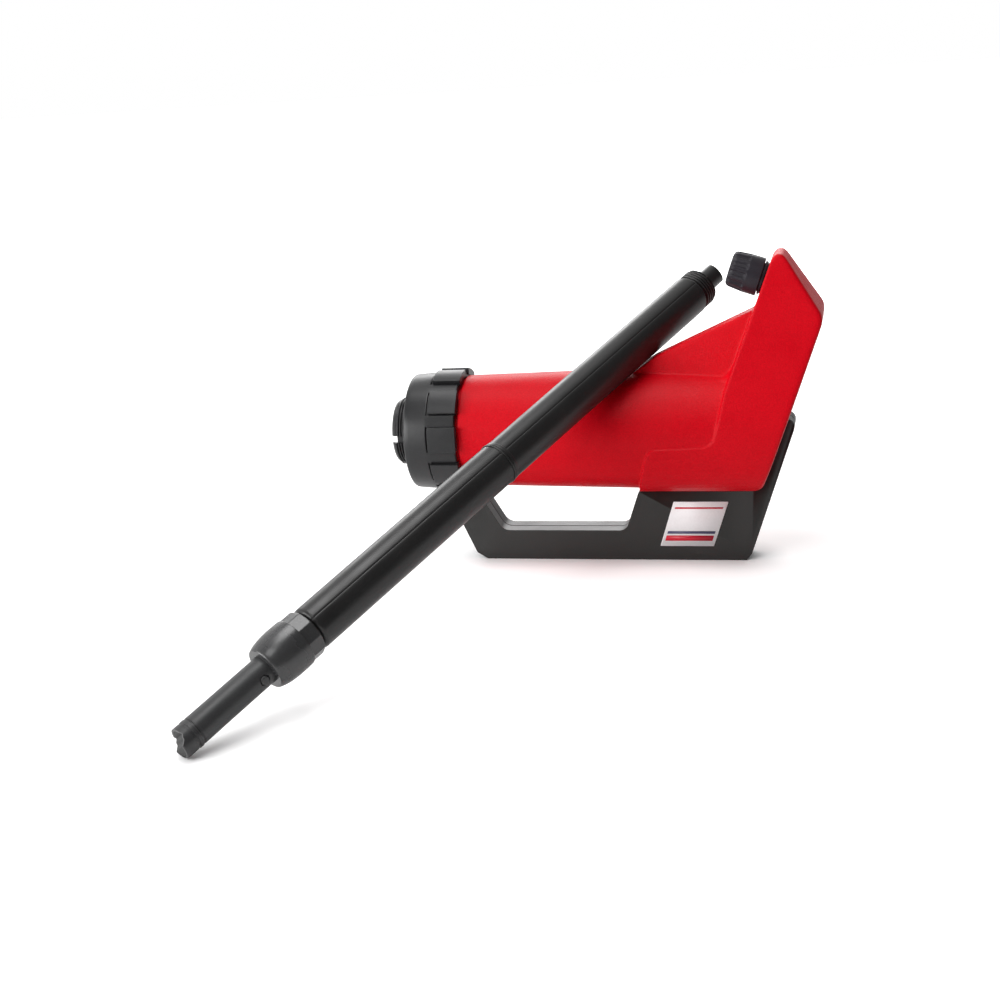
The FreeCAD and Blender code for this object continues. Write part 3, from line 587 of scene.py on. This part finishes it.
class PUMP_OT_body(bpy.types.Operator):
    """Moulded red body in two halves, with the slot the handle's arm rests in"""

    bl_idname = "drum_pump.body"
    bl_label = "Body"

    def execute(self, context):
        sizes = context.scene.pump_sizes
        barrel = turned([(-125, 0), (-125, 48.5), (60, 52.6), (108, 52.6), (108, 0)], steps=160)
        bmesh.ops.transform(barrel, matrix=ROW.inverted() @ PUMP, verts=barrel.verts)
        whole = make_object(join_into(barrel, head_mesh(), fin_mesh(), flare_mesh()), "body", ROW)
        remesh = whole.modifiers.new("merge", "REMESH")
        remesh.mode = "VOXEL"
        remesh.voxel_size = sizes.body_voxel
        remesh.use_smooth_shade = True
        ease = whole.modifiers.new("ease", "SMOOTH")
        ease.factor = 0.5
        ease.iterations = 5
        settled(whole)
        rim = whole.vertex_groups.new(name="outer rim")
        for vert in whole.data.vertices:
            x, y, z = (c / MM for c in vert.co)
            reach = x - back_edge_x(z) + SOFT_RIM
            if x > 100 and abs(y) > 3 and reach > 0:
                from_tip = math.hypot(x - HEAD_SIDE[4][0], z - HEAD_SIDE[4][1])
                rim.add([vert.index], min(1, reach / 6, 0.15 + from_tip / 40), "REPLACE")
        ease = whole.modifiers.new("rim", "SMOOTH")
        ease.factor = 0.5
        ease.iterations = 50
        ease.vertex_group = "outer rim"
        settled(whole)
        boolean(whole, make_object(slot_cutter(), "slot", ROW))
        bore = [(-140, 0), (-140, BARREL_BORE_R), (100, BARREL_BORE_R), (100, 11), (150, 11), (150, 0)]
        boolean(whole, make_object(turned(bore, steps=64), "bore", PUMP))
        outlet = turned([(-14, 0), (-14, 13.4), (8, 13.4), (8, 0)], steps=48)
        boolean(whole, make_object(outlet, "outlet hole", OUTLET))
        recesses = holes_across(BODY_SCREWS, BODY_SCREW_RECESS_R, 12, 60)
        boolean(whole, make_object(recesses, "screw recesses", ROW))
        halves = ((-1, "body_left", "body_shell_left"), (1, "body_right", "body_shell_right"))
        for side, name, node in halves:
            bm = new_bmesh()
            bm.from_mesh(whole.data)
            bmesh.ops.transform(bm, matrix=ROW.inverted(), verts=bm.verts)
            cut_away(bm, (0, side * 0.06, 0), (0, -side, 0))
            half = make_object(bm, name, ROW)
            shading = half.modifiers.new("shading", "WEIGHTED_NORMAL")
            shading.keep_sharp = True
            dress(half, "housing", finish("red"), "body_red", node)
        bpy.data.objects.remove(whole)
        return {"FINISHED"}


class PUMP_OT_neck(bpy.types.Operator):
    """Threaded neck of the body inside the collar nut"""

    bl_idname = "drum_pump.neck"
    bl_label = "Body neck"

    def execute(self, context):
        outline = [(-157.3, 41.2), (-157.3, 45.0), (-156.8, 45.6)]
        for turn in range(4):
            start = -155.5 + 6.0 * turn
            outline += [(start + 0.6, 45.6), (start + 2.4, 47.0), (start + 3.6, 47.0), (start + 5.4, 45.6)]
        outline += [(-124.4, 45.6), (-124.4, 41.2), (-157.3, 41.2)]
        neck = make_object(turned(outline, steps=96), "body_neck", PUMP)
        dress(soften(neck, 0.3), "housing", finish("red"), "body_red")
        return {"FINISHED"}


# Handle

HANDLE_OUTLINE = [
    (-124.9, 6.0, 4.0),
    (-115.4, 0.0, 3.0),
    (115.2, 0.0, 1.0),
    (120.24, 6.0, 3.0),
    (161.63, 127.5, 8.0),
    (144.63, 127.5, 4.0),
    (122.66, 63.0, 3.0),
    (23.9, 63.0, 3.0),
    (11.4, 27.2, 8.0),
    (-99.4, 27.2, 10.0),
    (-116.8, 58.0, 4.0),
    (-146.7, 58.0, 6.0),
]
HANDLE_HALF = 12.5
HANDLE_PARTING = 0.1
HANDLE_SCREW_RECESS_R = 4.0
HANDLE_SCREWS = [(-126, 36), (17.5, 14), (112, 12), (142, 94)]
OPENING_EDGE_R = 6.5


def on_face(edge, y):
    return all(abs(v.co.y - y) < 1e-4 for v in edge.verts)


def beside_opening(edge):
    """Whether an edge of the outline borders the finger opening."""
    return all(-118 < v.co.x < 24.5 and 20 < v.co.z < 58.5 for v in edge.verts)


class PUMP_OT_handle(bpy.types.Operator):
    """Black handle in two halves, parted down the middle"""

    bl_idname = "drum_pump.handle"
    bl_label = "Handle"

    def execute(self, context):
        radius = context.scene.pump_sizes.edge_round / MM
        for side, name, node in ((-1, "handle_near", "handle_left"), (1, "handle_far", "handle_right")):
            low, high = sorted((side * HANDLE_PARTING, side * HANDLE_HALF))
            bm = plate(HANDLE_OUTLINE, low, high, steps=6)
            parting = [e for e in bm.edges if on_face(e, side * HANDLE_PARTING)]
            bmesh.ops.bevel(
                bm, geom=parting, offset=0.7, segments=2, profile=0.5, affect="EDGES",
                material=-1, clamp_overlap=True,
            )
            opening = [e for e in bm.edges if on_face(e, side * HANDLE_HALF) and beside_opening(e)]
            round_edges(bm, opening, OPENING_EDGE_R, 6)
            outer = [
                e for e in bm.edges
                if on_face(e, side * HANDLE_HALF) and len(e.link_faces) == 2 and e.calc_face_angle(0) > 0.5
            ]
            round_edges(bm, outer, radius, 4)
            half = make_object(bm, name, ROW)
            if side > 0:
                recesses = holes_across(HANDLE_SCREWS, HANDLE_SCREW_RECESS_R, 9, 20)
                boolean(half, make_object(recesses, "screw recesses", ROW))
            shading = half.modifiers.new("shading", "WEIGHTED_NORMAL")
            shading.keep_sharp = True
            dress(half, "handle", finish("handle"), "handle_black", node)
        return {"FINISHED"}


LABEL_OUTLINE = [(54.0, 53.7, 0.6), (101.4, 53.7, 0.6), (87.6, 13.0, 0.6), (40.9, 13.0, 0.6)]
LABEL_BANDS = [
    ("label_band_low", "label red", 0.12, 0.24, 0.06, 0.94),
    ("label_band_mid", "label blue", 0.28, 0.34, 0.06, 0.94),
    ("label_band_top", "label red", 0.84, 0.88, 0.06, 0.94),
]


def label_z(share):
    return LABEL_OUTLINE[2][1] + share * (LABEL_OUTLINE[0][1] - LABEL_OUTLINE[2][1])


def label_x(across, up):
    """Place across the slanted sticker at a share of its height."""
    top_left, top_right, low_right, low_left = (corner[0] for corner in LABEL_OUTLINE)
    left = low_left + up * (top_left - low_left)
    right = low_right + up * (top_right - low_right)
    return left + across * (right - left)


class PUMP_OT_label(bpy.types.Operator):
    """Sticker with plain bands of colour on the handle's near face"""

    bl_idname = "drum_pump.label"
    bl_label = "Label"

    def execute(self, context):
        sticker = plate(LABEL_OUTLINE, -HANDLE_HALF - 0.30, -HANDLE_HALF - 0.02, steps=3)
        dress(make_object(sticker, "label", ROW), "handle", finish("label"), "label_vinyl", "label_plate")
        for name, key, low, high, left, right in LABEL_BANDS:
            outline = [
                (label_x(left, low), label_z(low), 0), (label_x(right, low), label_z(low), 0),
                (label_x(right, high), label_z(high), 0), (label_x(left, high), label_z(high), 0),
            ]
            band = plate(outline, -HANDLE_HALF - 0.36, -HANDLE_HALF - 0.28)
            dress(make_object(band, name, ROW), "handle", finish(key), "label_vinyl")
        return {"FINISHED"}


# Collar and adaptor


COLLAR_R = 51.6
PAD_R = 55.0
MOAT_X = (-152.5, -150.3)
MOAT_R = 50.0
PAD_FIRST_DEG = -6.6
PAD_HALF_DEG = 11.7


class PUMP_OT_collar(bpy.types.Operator):
    """Collar nut with ten raised grip pads"""

    bl_idname = "drum_pump.collar"
    bl_label = "Collar nut"

    def execute(self, context):
        rounding = context.scene.pump_sizes.pad_round / MM
        outline = [
            (-173.3, 32.2), (-173.3, 48.0), (-173.1, 48.9), (-172.6, 49.6), (-171.6, 50.2),
            (-168.0, 50.6), (-153.6, COLLAR_R), (MOAT_X[0], COLLAR_R), (MOAT_X[0] + 0.2, COLLAR_R),
            (MOAT_X[1] - 0.2, COLLAR_R), (MOAT_X[1], COLLAR_R), (-128.0, COLLAR_R), (-127.3, 51.0),
            (-127.3, 47.6), (-166.9, 47.6), (-166.9, 32.2), (-173.3, 32.2),
        ]
        bm = turned(outline, steps=720)
        for vert in bm.verts:
            if MOAT_X[0] + 0.1 < vert.co.z < -127.9 and math.hypot(vert.co.x, vert.co.y) > 51:
                turn = math.degrees(math.atan2(vert.co.y, vert.co.x)) - PAD_FIRST_DEG
                beside = abs((turn + 18) % 36 - 18) - PAD_HALF_DEG
                if -0.6 < beside < 0.6 or (beside < 0 and vert.co.z < MOAT_X[1] - 0.1):
                    vert.co.x *= MOAT_R / COLLAR_R
                    vert.co.y *= MOAT_R / COLLAR_R
        ring = make_object(bm, "collar_ring", PUMP)
        dress(soften(ring, 0.3, 2, 40), "collar", finish("collar"), "black_plastic", "collar_nut")
        for pad in range(10):
            start, end = MOAT_X[1], -125.6
            section = [(start, 49.0), (start, PAD_R), (end, PAD_R), (end, 49.0), (start, 49.0)]
            bm = turned(section, steps=180)
            half_angle = math.radians(PAD_HALF_DEG)
            for side in (-1, 1):
                normal = Vector((-math.sin(half_angle), side * math.cos(half_angle), 0))
                cut_away(bm, (0, 0, 0), normal)
            cut_away(bm, (0, 0, 0), (-1, 0, 0))
            turn = Matrix.Rotation(math.radians(PAD_FIRST_DEG + 36 * pad), 3, "Z")
            bmesh.ops.rotate(bm, cent=(0, 0, 0), matrix=turn, verts=bm.verts)
            made = make_object(bm, f"collar_pad_{pad + 1:02d}", PUMP)
            dress(soften(made, rounding, 3, 40), "collar", finish("collar"), "black_plastic")
        return {"FINISHED"}


class PUMP_OT_adaptor(bpy.types.Operator):
    """Drum adaptor with its pipe thread and key slot"""

    bl_idname = "drum_pump.adaptor"
    bl_label = "Drum adaptor"

    def execute(self, context):
        crest, root = 29.6, 28.2
        outline = [(-185.0, 16.9), (-185.0, 25.3), (-189.8, 25.3), (-189.8, 26.4), (-188.0, 28.0)]
        outline += [(-187.6 + 0.2 * step, root) for step in range(52)]
        outline += [(-177.1, root), (-176.9, crest), (-173.6, crest), (-173.4, 29.0), (-166.9, 29.0)]
        outline += [(-166.9, 45.3), (-160.2, 45.3), (-160.2, 16.9), (-185.0, 16.9)]
        bm = turned(outline, steps=144)
        for vert in bm.verts:
            reach = math.hypot(vert.co.x, vert.co.y)
            if abs(reach - root) < 0.02 and vert.co.z < -177.2:
                angle = math.atan2(vert.co.y, vert.co.x) % TURN
                new_reach = thread_wave(vert.co.z, -187.4, 2.309, 4.6, root, crest, angle)
                vert.co.x *= new_reach / reach
                vert.co.y *= new_reach / reach
        made = make_object(bm, "adaptor", PUMP)
        for low, start, end in ((23.0, -191.0, -185.0), (27.6, -185.2, -177.1)):
            slot = plate([(low, start, 0), (32, start, 0), (32, end, 0), (low, end, 0)], -2.9, 2.9)
            boolean(made, make_object(slot, "key slot", PUMP))
        dress(soften(made, 0.15, 2, 50), "adaptor", finish("collar"), "black_plastic", "drum_adaptor")
        return {"FINISHED"}


# Outlet


CAP_FLUTE_DEPTH = 1.5


class PUMP_OT_outlet(bpy.types.Operator):
    """Outlet neck and its fluted screw cap"""

    bl_idname = "drum_pump.outlet"
    bl_label = "Outlet and cap"

    def execute(self, context):
        neck = [(-12, 7.2), (-12, 13.1), (1.4, 13.1), (1.4, 14.1), (3.4, 14.1), (3.4, 12.1)]
        for ridge in range(4):
            start = 4.6 + 3.0 * ridge
            neck += [(start + 0.3, 12.1), (start + 1.2, 13.1), (start + 1.8, 13.1), (start + 2.7, 12.1)]
        neck += [(17.8, 12.1), (17.8, 9.1), (-6, 9.1), (-6, 7.2), (-12, 7.2)]
        made = make_object(turned(neck, steps=72), "outlet_neck_shown", OUTLET)
        dress(soften(made, 0.25), "housing", finish("cap"), "black_plastic", "outlet_neck")
        flutes = context.scene.pump_sizes.cap_flutes
        start, end = 3.9, 30.6
        flute_start = start + 11.4
        cap = [(start, 13.7), (start, 15.6), (start + 0.5, 16.1), (flute_start - 0.4, 16.1)]
        cap += [(flute_start + 0.5 * step, 16.1 - 0.05 * step) for step in range(24)]
        cap += [
            (end - 3.2, 14.8), (end - 2.2, 14.5), (end - 1.2, 13.8), (end - 0.4, 12.8), (end - 0.1, 11.8),
            (end, 10.5), (end, 0),
        ]
        bm = turned(cap + [(20.2, 0), (20.2, 13.7), (start, 13.7)], steps=flutes * 18)
        for vert in bm.verts:
            radius = math.hypot(vert.co.x, vert.co.y)
            along = vert.co.z - flute_start
            if radius > 11.0 and along > 0 and vert.co.z < end - 0.2 and (vert.co.z > 20.3 or radius > 14):
                angle = math.atan2(vert.co.y, vert.co.x) * flutes
                reach = min(1.0, along / 1.6)
                dip = min(1.0, max(0.0, math.cos(angle) + 0.35) * 1.6)
                factor = 1 - CAP_FLUTE_DEPTH * dip * reach / radius
                vert.co.x *= factor
                vert.co.y *= factor
        made = make_object(bm, "cap", OUTLET)
        dress(soften(made, 0.2, 2, 50), "cap", finish("cap"), "black_plastic", "outlet_cap")
        return {"FINISHED"}


# Suction tube


FOOT_TURN_DEG = 235
FOOT_STEP = [
    (-20, -3.6), (-6.6, -3.6), (-4.4, -2.6), (-2.4, -4.4), (-0.4, -4.9), (3.2, -9.5), (3.2, -20),
    (-20, -20),
]
NUT_FLAT_REACH = 18.1
NUT_FIRST_FLAT_DEG = 7
PART_LINE_DEG = 128.5


def part_line(bm, above_r):
    """Presses the mould's parting line into the outside of a tube turned in 3 degree steps."""
    for vert in bm.verts:
        radius = math.hypot(vert.co.x, vert.co.y)
        turn = math.degrees(math.atan2(vert.co.y, vert.co.x)) - PART_LINE_DEG
        if radius < above_r or abs(turn) > 4.4:
            continue
        side = round(turn / 3)
        new_turn = math.radians(PART_LINE_DEG + 1.8 * side)
        new_radius = radius - (0.45 if side == 0 else 0.0)
        vert.co.x = new_radius * math.cos(new_turn)
        vert.co.y = new_radius * math.sin(new_turn)


class PUMP_OT_tube(bpy.types.Operator):
    """Large suction tube with its joint ring, thread and nozzle"""

    bl_idname = "drum_pump.tube"
    bl_label = "Suction tube"

    def execute(self, context):
        radius = context.scene.pump_sizes.tube_radius / MM
        wide = radius + 0.2
        lower = [
            (105.6, 12.6), (105.6, 14.3), (120.2, 14.3), (120.6, 15.6), (122.2, wide - 0.3), (124.2, wide),
            (332.9, wide), (332.9, 14.7), (127.5, 14.7), (121.5, 12.6), (105.6, 12.6),
        ]
        bm = turned(lower, steps=120)
        part_line(bm, 17.0)
        made = make_object(bm, "tube_lower", TUBE)
        dress(soften(made, 0.3, 2, 75), "outer_tube", finish("tube"), "tube_black", "lower_tube")
        ring = [
            (333.0, radius - 0.2), (333.0, 18.1), (333.3, 18.3), (334.3, 18.3), (334.6, 17.5),
            (335.0, 17.2), (335.4, 17.8), (338.0, 17.8), (338.6, 17.5), (338.7, radius - 0.2),
            (333.0, radius - 0.2),
        ]
        made = make_object(turned(ring, steps=96), "tube_joint", TUBE)
        dress(soften(made, 0.1), "outer_tube", finish("tube"), "tube_black", "joint_ring")
        upper = [(333.2, 14.7), (333.2, radius), (592.6, radius), (594.0, radius - 0.7), (594.4, 14.9)]
        bm = turned(upper + [(594.6, 14.7), (333.2, 14.7)], steps=120)
        part_line(bm, 16.6)
        made = make_object(bm, "tube_upper", TUBE)
        dress(soften(made, 0.3, 2, 75), "outer_tube", finish("tube"), "tube_black", "upper_tube")
        points = [(594.4 + 0.25 * step, 14.9) for step in range(56)]
        closing = [(610.0, 13.3), (611.4, 12.4), (611.4, 8.6), (594.4, 14.0)]
        thread = turned([(594.4, 14.0)] + points + closing, steps=120)
        for vert in thread.verts:
            reach = math.hypot(vert.co.x, vert.co.y)
            if abs(reach - 14.9) < 0.02:
                angle = math.atan2(vert.co.y, vert.co.x) % TURN
                new_reach = thread_wave(vert.co.z, 595.0, 2.7, 4.4, 14.9, 16.9, angle)
                vert.co.x *= new_reach / reach
                vert.co.y *= new_reach / reach
        made = make_object(thread, "tube_thread", TUBE)
        dress(made, "outer_tube", finish("tube"), "tube_black")
        bm = turned([(600.6, 6.7), (600.6, 9.4), (632.4, 9.4), (632.4, 6.7), (600.6, 6.7)], steps=72)
        tilt = Matrix.Rotation(math.radians(145), 3, "Z") @ Matrix.Rotation(math.radians(17), 3, "Y")
        cut_away(bm, (0, 0, 631.4), tilt @ Vector((0, 0, 1)))
        made = make_object(bm, "tube_nozzle", TUBE)
        dress(soften(made, 0.3), "outer_tube", finish("tube"), "tube_black", "tube_spigot")
        return {"FINISHED"}


class PUMP_OT_clamp_nut(bpy.types.Operator):
    """Clamp nut with flats for a wrench at its wide end"""

    bl_idname = "drum_pump.clamp_nut"
    bl_label = "Clamp nut"

    def execute(self, context):
        outline = [
            (75.7, 11.3), (75.7, 16.2), (76.3, 16.9), (78.0, 17.6), (81.0, 18.5), (85.0, 19.3),
            (90.0, 19.8), (95.0, 20.0), (100.0, 20.0), (105.8, 19.8), (106.5, 19.7), (106.7, 19.7),
            (110.0, 19.5), (114.0, 19.3), (117.6, 19.0), (118.4, 18.6), (118.8, 17.9), (118.8, 15.8),
            (80.9, 15.8), (80.9, 11.3), (75.7, 11.3),
        ]
        bm = turned(outline, steps=120)
        for vert in bm.verts:
            radius = math.hypot(vert.co.x, vert.co.y)
            if vert.co.z > 106.6 and radius > 17:
                turn = math.degrees(math.atan2(vert.co.y, vert.co.x))
                off_centre = math.radians((turn + 18) % 36 - 18)
                limit = NUT_FLAT_REACH / math.cos(off_centre)
                factor = min(1.0, limit / radius)
                vert.co.x *= factor
                vert.co.y *= factor
        turn = Matrix.Rotation(math.radians(NUT_FIRST_FLAT_DEG), 3, "Z")
        bmesh.ops.rotate(bm, cent=(0, 0, 0), matrix=turn, verts=bm.verts)
        made = make_object(bm, "clamp_nut_shown", TUBE)
        dress(soften(made, 0.2, 2, 40), "clamp_nut", finish("nut"), "tube_black", "clamp_nut")
        return {"FINISHED"}


class PUMP_OT_inner_tube(bpy.types.Operator):
    """Thin inner tube, its button and its notched foot"""

    bl_idname = "drum_pump.inner_tube"
    bl_label = "Inner tube"

    def execute(self, context):
        tube = [(8.0, 9.4), (8.0, 11.1), (8.6, 11.2), (419.5, 11.2), (419.5, 9.4), (8.0, 9.4)]
        made = make_object(turned(tube, steps=80), "inner_tube_shown", TUBE)
        hole = turned([(0, 0), (0, 4.1), (20, 4.1), (20, 0)], steps=48)
        outward = Matrix.Rotation(math.radians(178), 4, "Z") @ Matrix.Rotation(math.pi / 2, 4, "Y")
        place = TUBE @ Matrix.Translation((0, 0, 67)) @ outward
        boolean(made, make_object(hole, "button hole", place))
        dress(soften(made, 0.2), "inner_tube", finish("inner"), "inner_tube_grey", "inner_tube")
        button = turned([(6.0, 0), (6.0, 3.5), (11.4, 3.5), (11.9, 3.1), (12.1, 2.4), (12.15, 0)], steps=48)
        made = make_object(button, "button_shown", place)
        dress(soften(made, 0.15), "button", finish("inner"), "inner_tube_grey", "tube_button")
        crown = [
            (-8.7, 9.4), (-8.7, 10.1), (-8.2, 10.8), (-7.2, 11.2), (1.4, 11.3), (1.8, 10.8), (3.2, 10.8),
            (3.6, 11.5), (6.2, 11.5), (6.6, 10.8), (7.8, 10.8), (7.8, 9.0), (23.8, 9.0), (23.8, 6.7),
            (0.2, 6.7), (0.2, 9.4), (-8.7, 9.4),
        ]
        plug = [(-8.4, 0), (-8.4, 9.2), (0.0, 9.2), (0.0, 0)]
        foot = self.notched(turned(crown, steps=96), "foot_crown")
        dress(soften(foot, 0.35), "inner_tube", finish("inner"), "inner_tube_grey", "foot_strainer")
        inside = self.notched(turned(plug, steps=96), "foot_inside")
        dress(soften(inside, 0.2), "inner_tube", finish("rubber"), "inner_tube_grey")
        return {"FINISHED"}

    def notched(self, bm, name):
        foot = make_object(bm, name, TUBE)
        block = plate([(across, along, 0) for across, along in FOOT_STEP], -15, 15)
        turn = Matrix.Rotation(math.radians(FOOT_TURN_DEG), 3, "Z")
        bmesh.ops.rotate(block, cent=(0, 0, 0), matrix=turn, verts=block.verts)
        boolean(foot, make_object(block, "notch", TUBE))
        return foot


# Inner pieces and screws


class PUMP_OT_inner_pieces(bpy.types.Operator):
    """Finishes for the pieces inside the pump and the tube"""

    bl_idname = "drum_pump.inner_pieces"
    bl_label = "Inner pieces"

    def execute(self, context):
        finishes = {
            "inside": [
                "inlet_seat", "pump_barrel", "gland_block", "gland_nut", "piston", "outlet_duct",
                "gland_bush",
            ],
            "rubber": [
                "barrel_seal", "rod_seal", "rod_wiper", "piston_seals", "adaptor_gasket", "outlet_seal",
                "cap_liner", "inlet_valve_disc", "piston_valve_disc", "clamp_seal",
            ],
            "steel": [
                "piston_rod", "rod_pin", "valve_stop_ring", "piston_nut", "inlet_valve_stop",
                "button_spring",
            ],
            "zinc": ["body_screws", "handle_screws"],
            "inner": ["ball_cage", "stop_ring", "clamp_washer", "foot_ball"],
        }
        for key, names in finishes.items():
            for name in names:
                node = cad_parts[name]
                node.data.materials.clear()
                node.data.materials.append(finish(key))
        return {"FINISHED"}


# Stage

CAMERA_AZIMUTH = math.radians(13.98)
CAMERA_ELEVATION = math.radians(18.0)
CAMERA_ROLL = math.radians(-4.488)
CAMERA_TARGET = Vector((-103.47, 0, 51.35)) * MM
CAMERA_DISTANCE = 1.45


def aim(place, target):
    return (target - place).to_track_quat("-Z", "Y")


def add_lamp(name, place, target, size, power):
    data = bpy.data.lights.new(name, "AREA")
    data.shape = "RECTANGLE"
    data.size, data.size_y = size
    data.energy = power
    lamp = bpy.data.objects.new(name, data)
    lamp.location = place
    lamp.rotation_mode = "QUATERNION"
    lamp.rotation_quaternion = aim(Vector(place), Vector(target))
    bpy.context.scene.collection.objects.link(lamp)


def backdrop_material(colour):
    """White floor that takes the object's shadow from the lamps, with painted contact shade: a white glow
    seen only by the camera is dimmed by ambient occlusion near the object, and turns into plain white
    further away.
    """
    material = bpy.data.materials.new("White floor")
    material.use_nodes = True
    nodes, links = material.node_tree.nodes, material.node_tree.links
    shader = nodes["Principled BSDF"]
    shader.inputs["Base Color"].default_value = (*colour, 1)
    shader.inputs["Roughness"].default_value = 0.9
    shader.inputs["Specular IOR Level"].default_value = 0.1
    place = nodes.new("ShaderNodeTexCoord")
    reach = nodes.new("ShaderNodeVectorMath")
    reach.operation = "LENGTH"
    far = range_node(nodes, 0.55, 1.10, 0.42, 1.0, eased=True)
    # Painted shade: ambient occlusion dims the camera-only white glow where the floor lies close under the
    # object, darkening it at contact.
    painted_contact_shade = nodes.new("ShaderNodeAmbientOcclusion")
    painted_contact_shade.samples = 8
    painted_contact_shade.inputs["Distance"].default_value = 0.03
    painted_shade_squared = math_node(nodes, "POWER", 0.5, 2.0)
    path = nodes.new("ShaderNodeLightPath")
    glow_with_painted_shade = math_node(nodes, "MULTIPLY")
    seen = math_node(nodes, "MULTIPLY")
    white = nodes.new("ShaderNodeEmission")
    both = nodes.new("ShaderNodeAddShader")
    links.new(place.outputs["Object"], reach.inputs[0])
    links.new(reach.outputs["Value"], far.inputs["Value"])
    links.new(far.outputs["Result"], glow_with_painted_shade.inputs[0])
    links.new(painted_contact_shade.outputs["AO"], painted_shade_squared.inputs[0])
    links.new(painted_shade_squared.outputs["Value"], glow_with_painted_shade.inputs[1])
    links.new(glow_with_painted_shade.outputs["Value"], seen.inputs[0])
    links.new(path.outputs["Is Camera Ray"], seen.inputs[1])
    links.new(seen.outputs["Value"], white.inputs["Strength"])
    links.new(shader.outputs["BSDF"], both.inputs[0])
    links.new(white.outputs["Emission"], both.inputs[1])
    links.new(both.outputs["Shader"], nodes["Material Output"].inputs["Surface"])
    return material


def studio_world():
    """Dim room, bright behind on the left and above, and plain white to the camera."""
    world = bpy.data.worlds.new("Studio")
    world.use_nodes = True
    nodes, links = world.node_tree.nodes, world.node_tree.links
    place = nodes.new("ShaderNodeTexCoord")
    towards = nodes.new("ShaderNodeVectorMath")
    towards.operation = "DOT_PRODUCT"
    towards.inputs[1].default_value = (-0.5, 0.75, 0.43)
    level = range_node(nodes, 0.1, 0.9, 0.12, 0.95, eased=True)
    light = nodes["Background"]
    light.inputs["Color"].default_value = (1, 1, 1, 1)
    white = nodes.new("ShaderNodeBackground")
    white.inputs["Color"].default_value = (1, 1, 1, 1)
    white.inputs["Strength"].default_value = 1.0
    path = nodes.new("ShaderNodeLightPath")
    pick = nodes.new("ShaderNodeMixShader")
    links.new(place.outputs["Generated"], towards.inputs[0])
    links.new(towards.outputs["Value"], level.inputs["Value"])
    links.new(level.outputs["Result"], light.inputs["Strength"])
    links.new(path.outputs["Is Camera Ray"], pick.inputs["Fac"])
    links.new(light.outputs["Background"], pick.inputs[1])
    links.new(white.outputs["Background"], pick.inputs[2])
    links.new(pick.outputs["Shader"], nodes["World Output"].inputs["Surface"])
    return world


class PUMP_OT_stage(bpy.types.Operator):
    """White floor, soft studio lamps and the camera"""

    bl_idname = "drum_pump.stage"
    bl_label = "Stage"

    def execute(self, context):
        scene = context.scene
        colours = scene.pump_colours
        bm = new_bmesh()
        bmesh.ops.create_grid(bm, x_segments=2, y_segments=2, size=6.0)
        floor = make_object(bm, "floor", Matrix.Identity(4))
        floor.data.materials.append(backdrop_material(colours.floor_white))
        scene.world = studio_world()
        scene.view_settings.view_transform = "Standard"
        middle = Vector((-0.03, 0, 0.12))
        add_lamp("top lamp", (-0.25, -0.15, 1.5), middle, (0.9, 0.5), 8)
        add_lamp("left lamp", (-1.5, -1.25, 0.55), middle, (1.4, 1.0), 32)
        add_lamp("front lamp", (-0.3, -1.4, 1.9), middle, (1.0, 0.8), 9)
        add_lamp("back lamp", (-0.5, 1.5, 0.75), middle, (1.8, 0.6), 13)
        camera = bpy.data.objects.new("photo camera", bpy.data.cameras.new("photo camera"))
        camera.data.sensor_width = 36.0
        camera.data.lens = 58.23
        camera.data.clip_start = 0.05
        camera.data.clip_end = 60.0
        sin_a, cos_a = math.sin(CAMERA_AZIMUTH), math.cos(CAMERA_AZIMUTH)
        sin_e, cos_e = math.sin(CAMERA_ELEVATION), math.cos(CAMERA_ELEVATION)
        back = Vector((sin_a * cos_e, -cos_a * cos_e, sin_e))
        level = Vector((cos_a, sin_a, 0))
        upright = back.cross(level)
        right = level * math.cos(CAMERA_ROLL) + upright * math.sin(CAMERA_ROLL)
        up = upright * math.cos(CAMERA_ROLL) - level * math.sin(CAMERA_ROLL)
        turn = Matrix((right, up, back)).transposed().to_4x4()
        camera.matrix_world = Matrix.Translation(CAMERA_TARGET + back * CAMERA_DISTANCE) @ turn
        scene.collection.objects.link(camera)
        scene.camera = camera
        return {"FINISHED"}


class PUMP_PT_panel(bpy.types.Panel):
    """Sizes, colours and one button for each piece"""

    bl_label = "Drum Pump"
    bl_idname = "PUMP_PT_panel"
    bl_space_type = "VIEW_3D"
    bl_region_type = "UI"
    bl_category = "Drum Pump"

    def draw(self, context):
        column = self.layout.column()
        for group in (context.scene.pump_sizes, context.scene.pump_colours):
            for name in group.__annotations__:
                column.prop(group, name)
        for piece in OPERATORS:
            column.operator(piece.bl_idname)


OPERATORS = (
    PUMP_OT_body,
    PUMP_OT_neck,
    PUMP_OT_handle,
    PUMP_OT_label,
    PUMP_OT_collar,
    PUMP_OT_adaptor,
    PUMP_OT_outlet,
    PUMP_OT_tube,
    PUMP_OT_clamp_nut,
    PUMP_OT_inner_tube,
    PUMP_OT_inner_pieces,
    PUMP_OT_stage,
)
CLASSES = (PumpSizes, PumpColours, *OPERATORS, PUMP_PT_panel)


def register():
    for kind in CLASSES:
        bpy.utils.register_class(kind)
    bpy.types.Scene.pump_sizes = bpy.props.PointerProperty(type=PumpSizes)
    bpy.types.Scene.pump_colours = bpy.props.PointerProperty(type=PumpColours)


def unregister():
    del bpy.types.Scene.pump_colours
    del bpy.types.Scene.pump_sizes
    for kind in reversed(CLASSES):
        bpy.utils.unregister_class(kind)


def main():
    register()
    for piece in OPERATORS:
        group, name = piece.bl_idname.split(".")
        getattr(getattr(bpy.ops, group), name)()


if __name__ == "__main__":
    main()
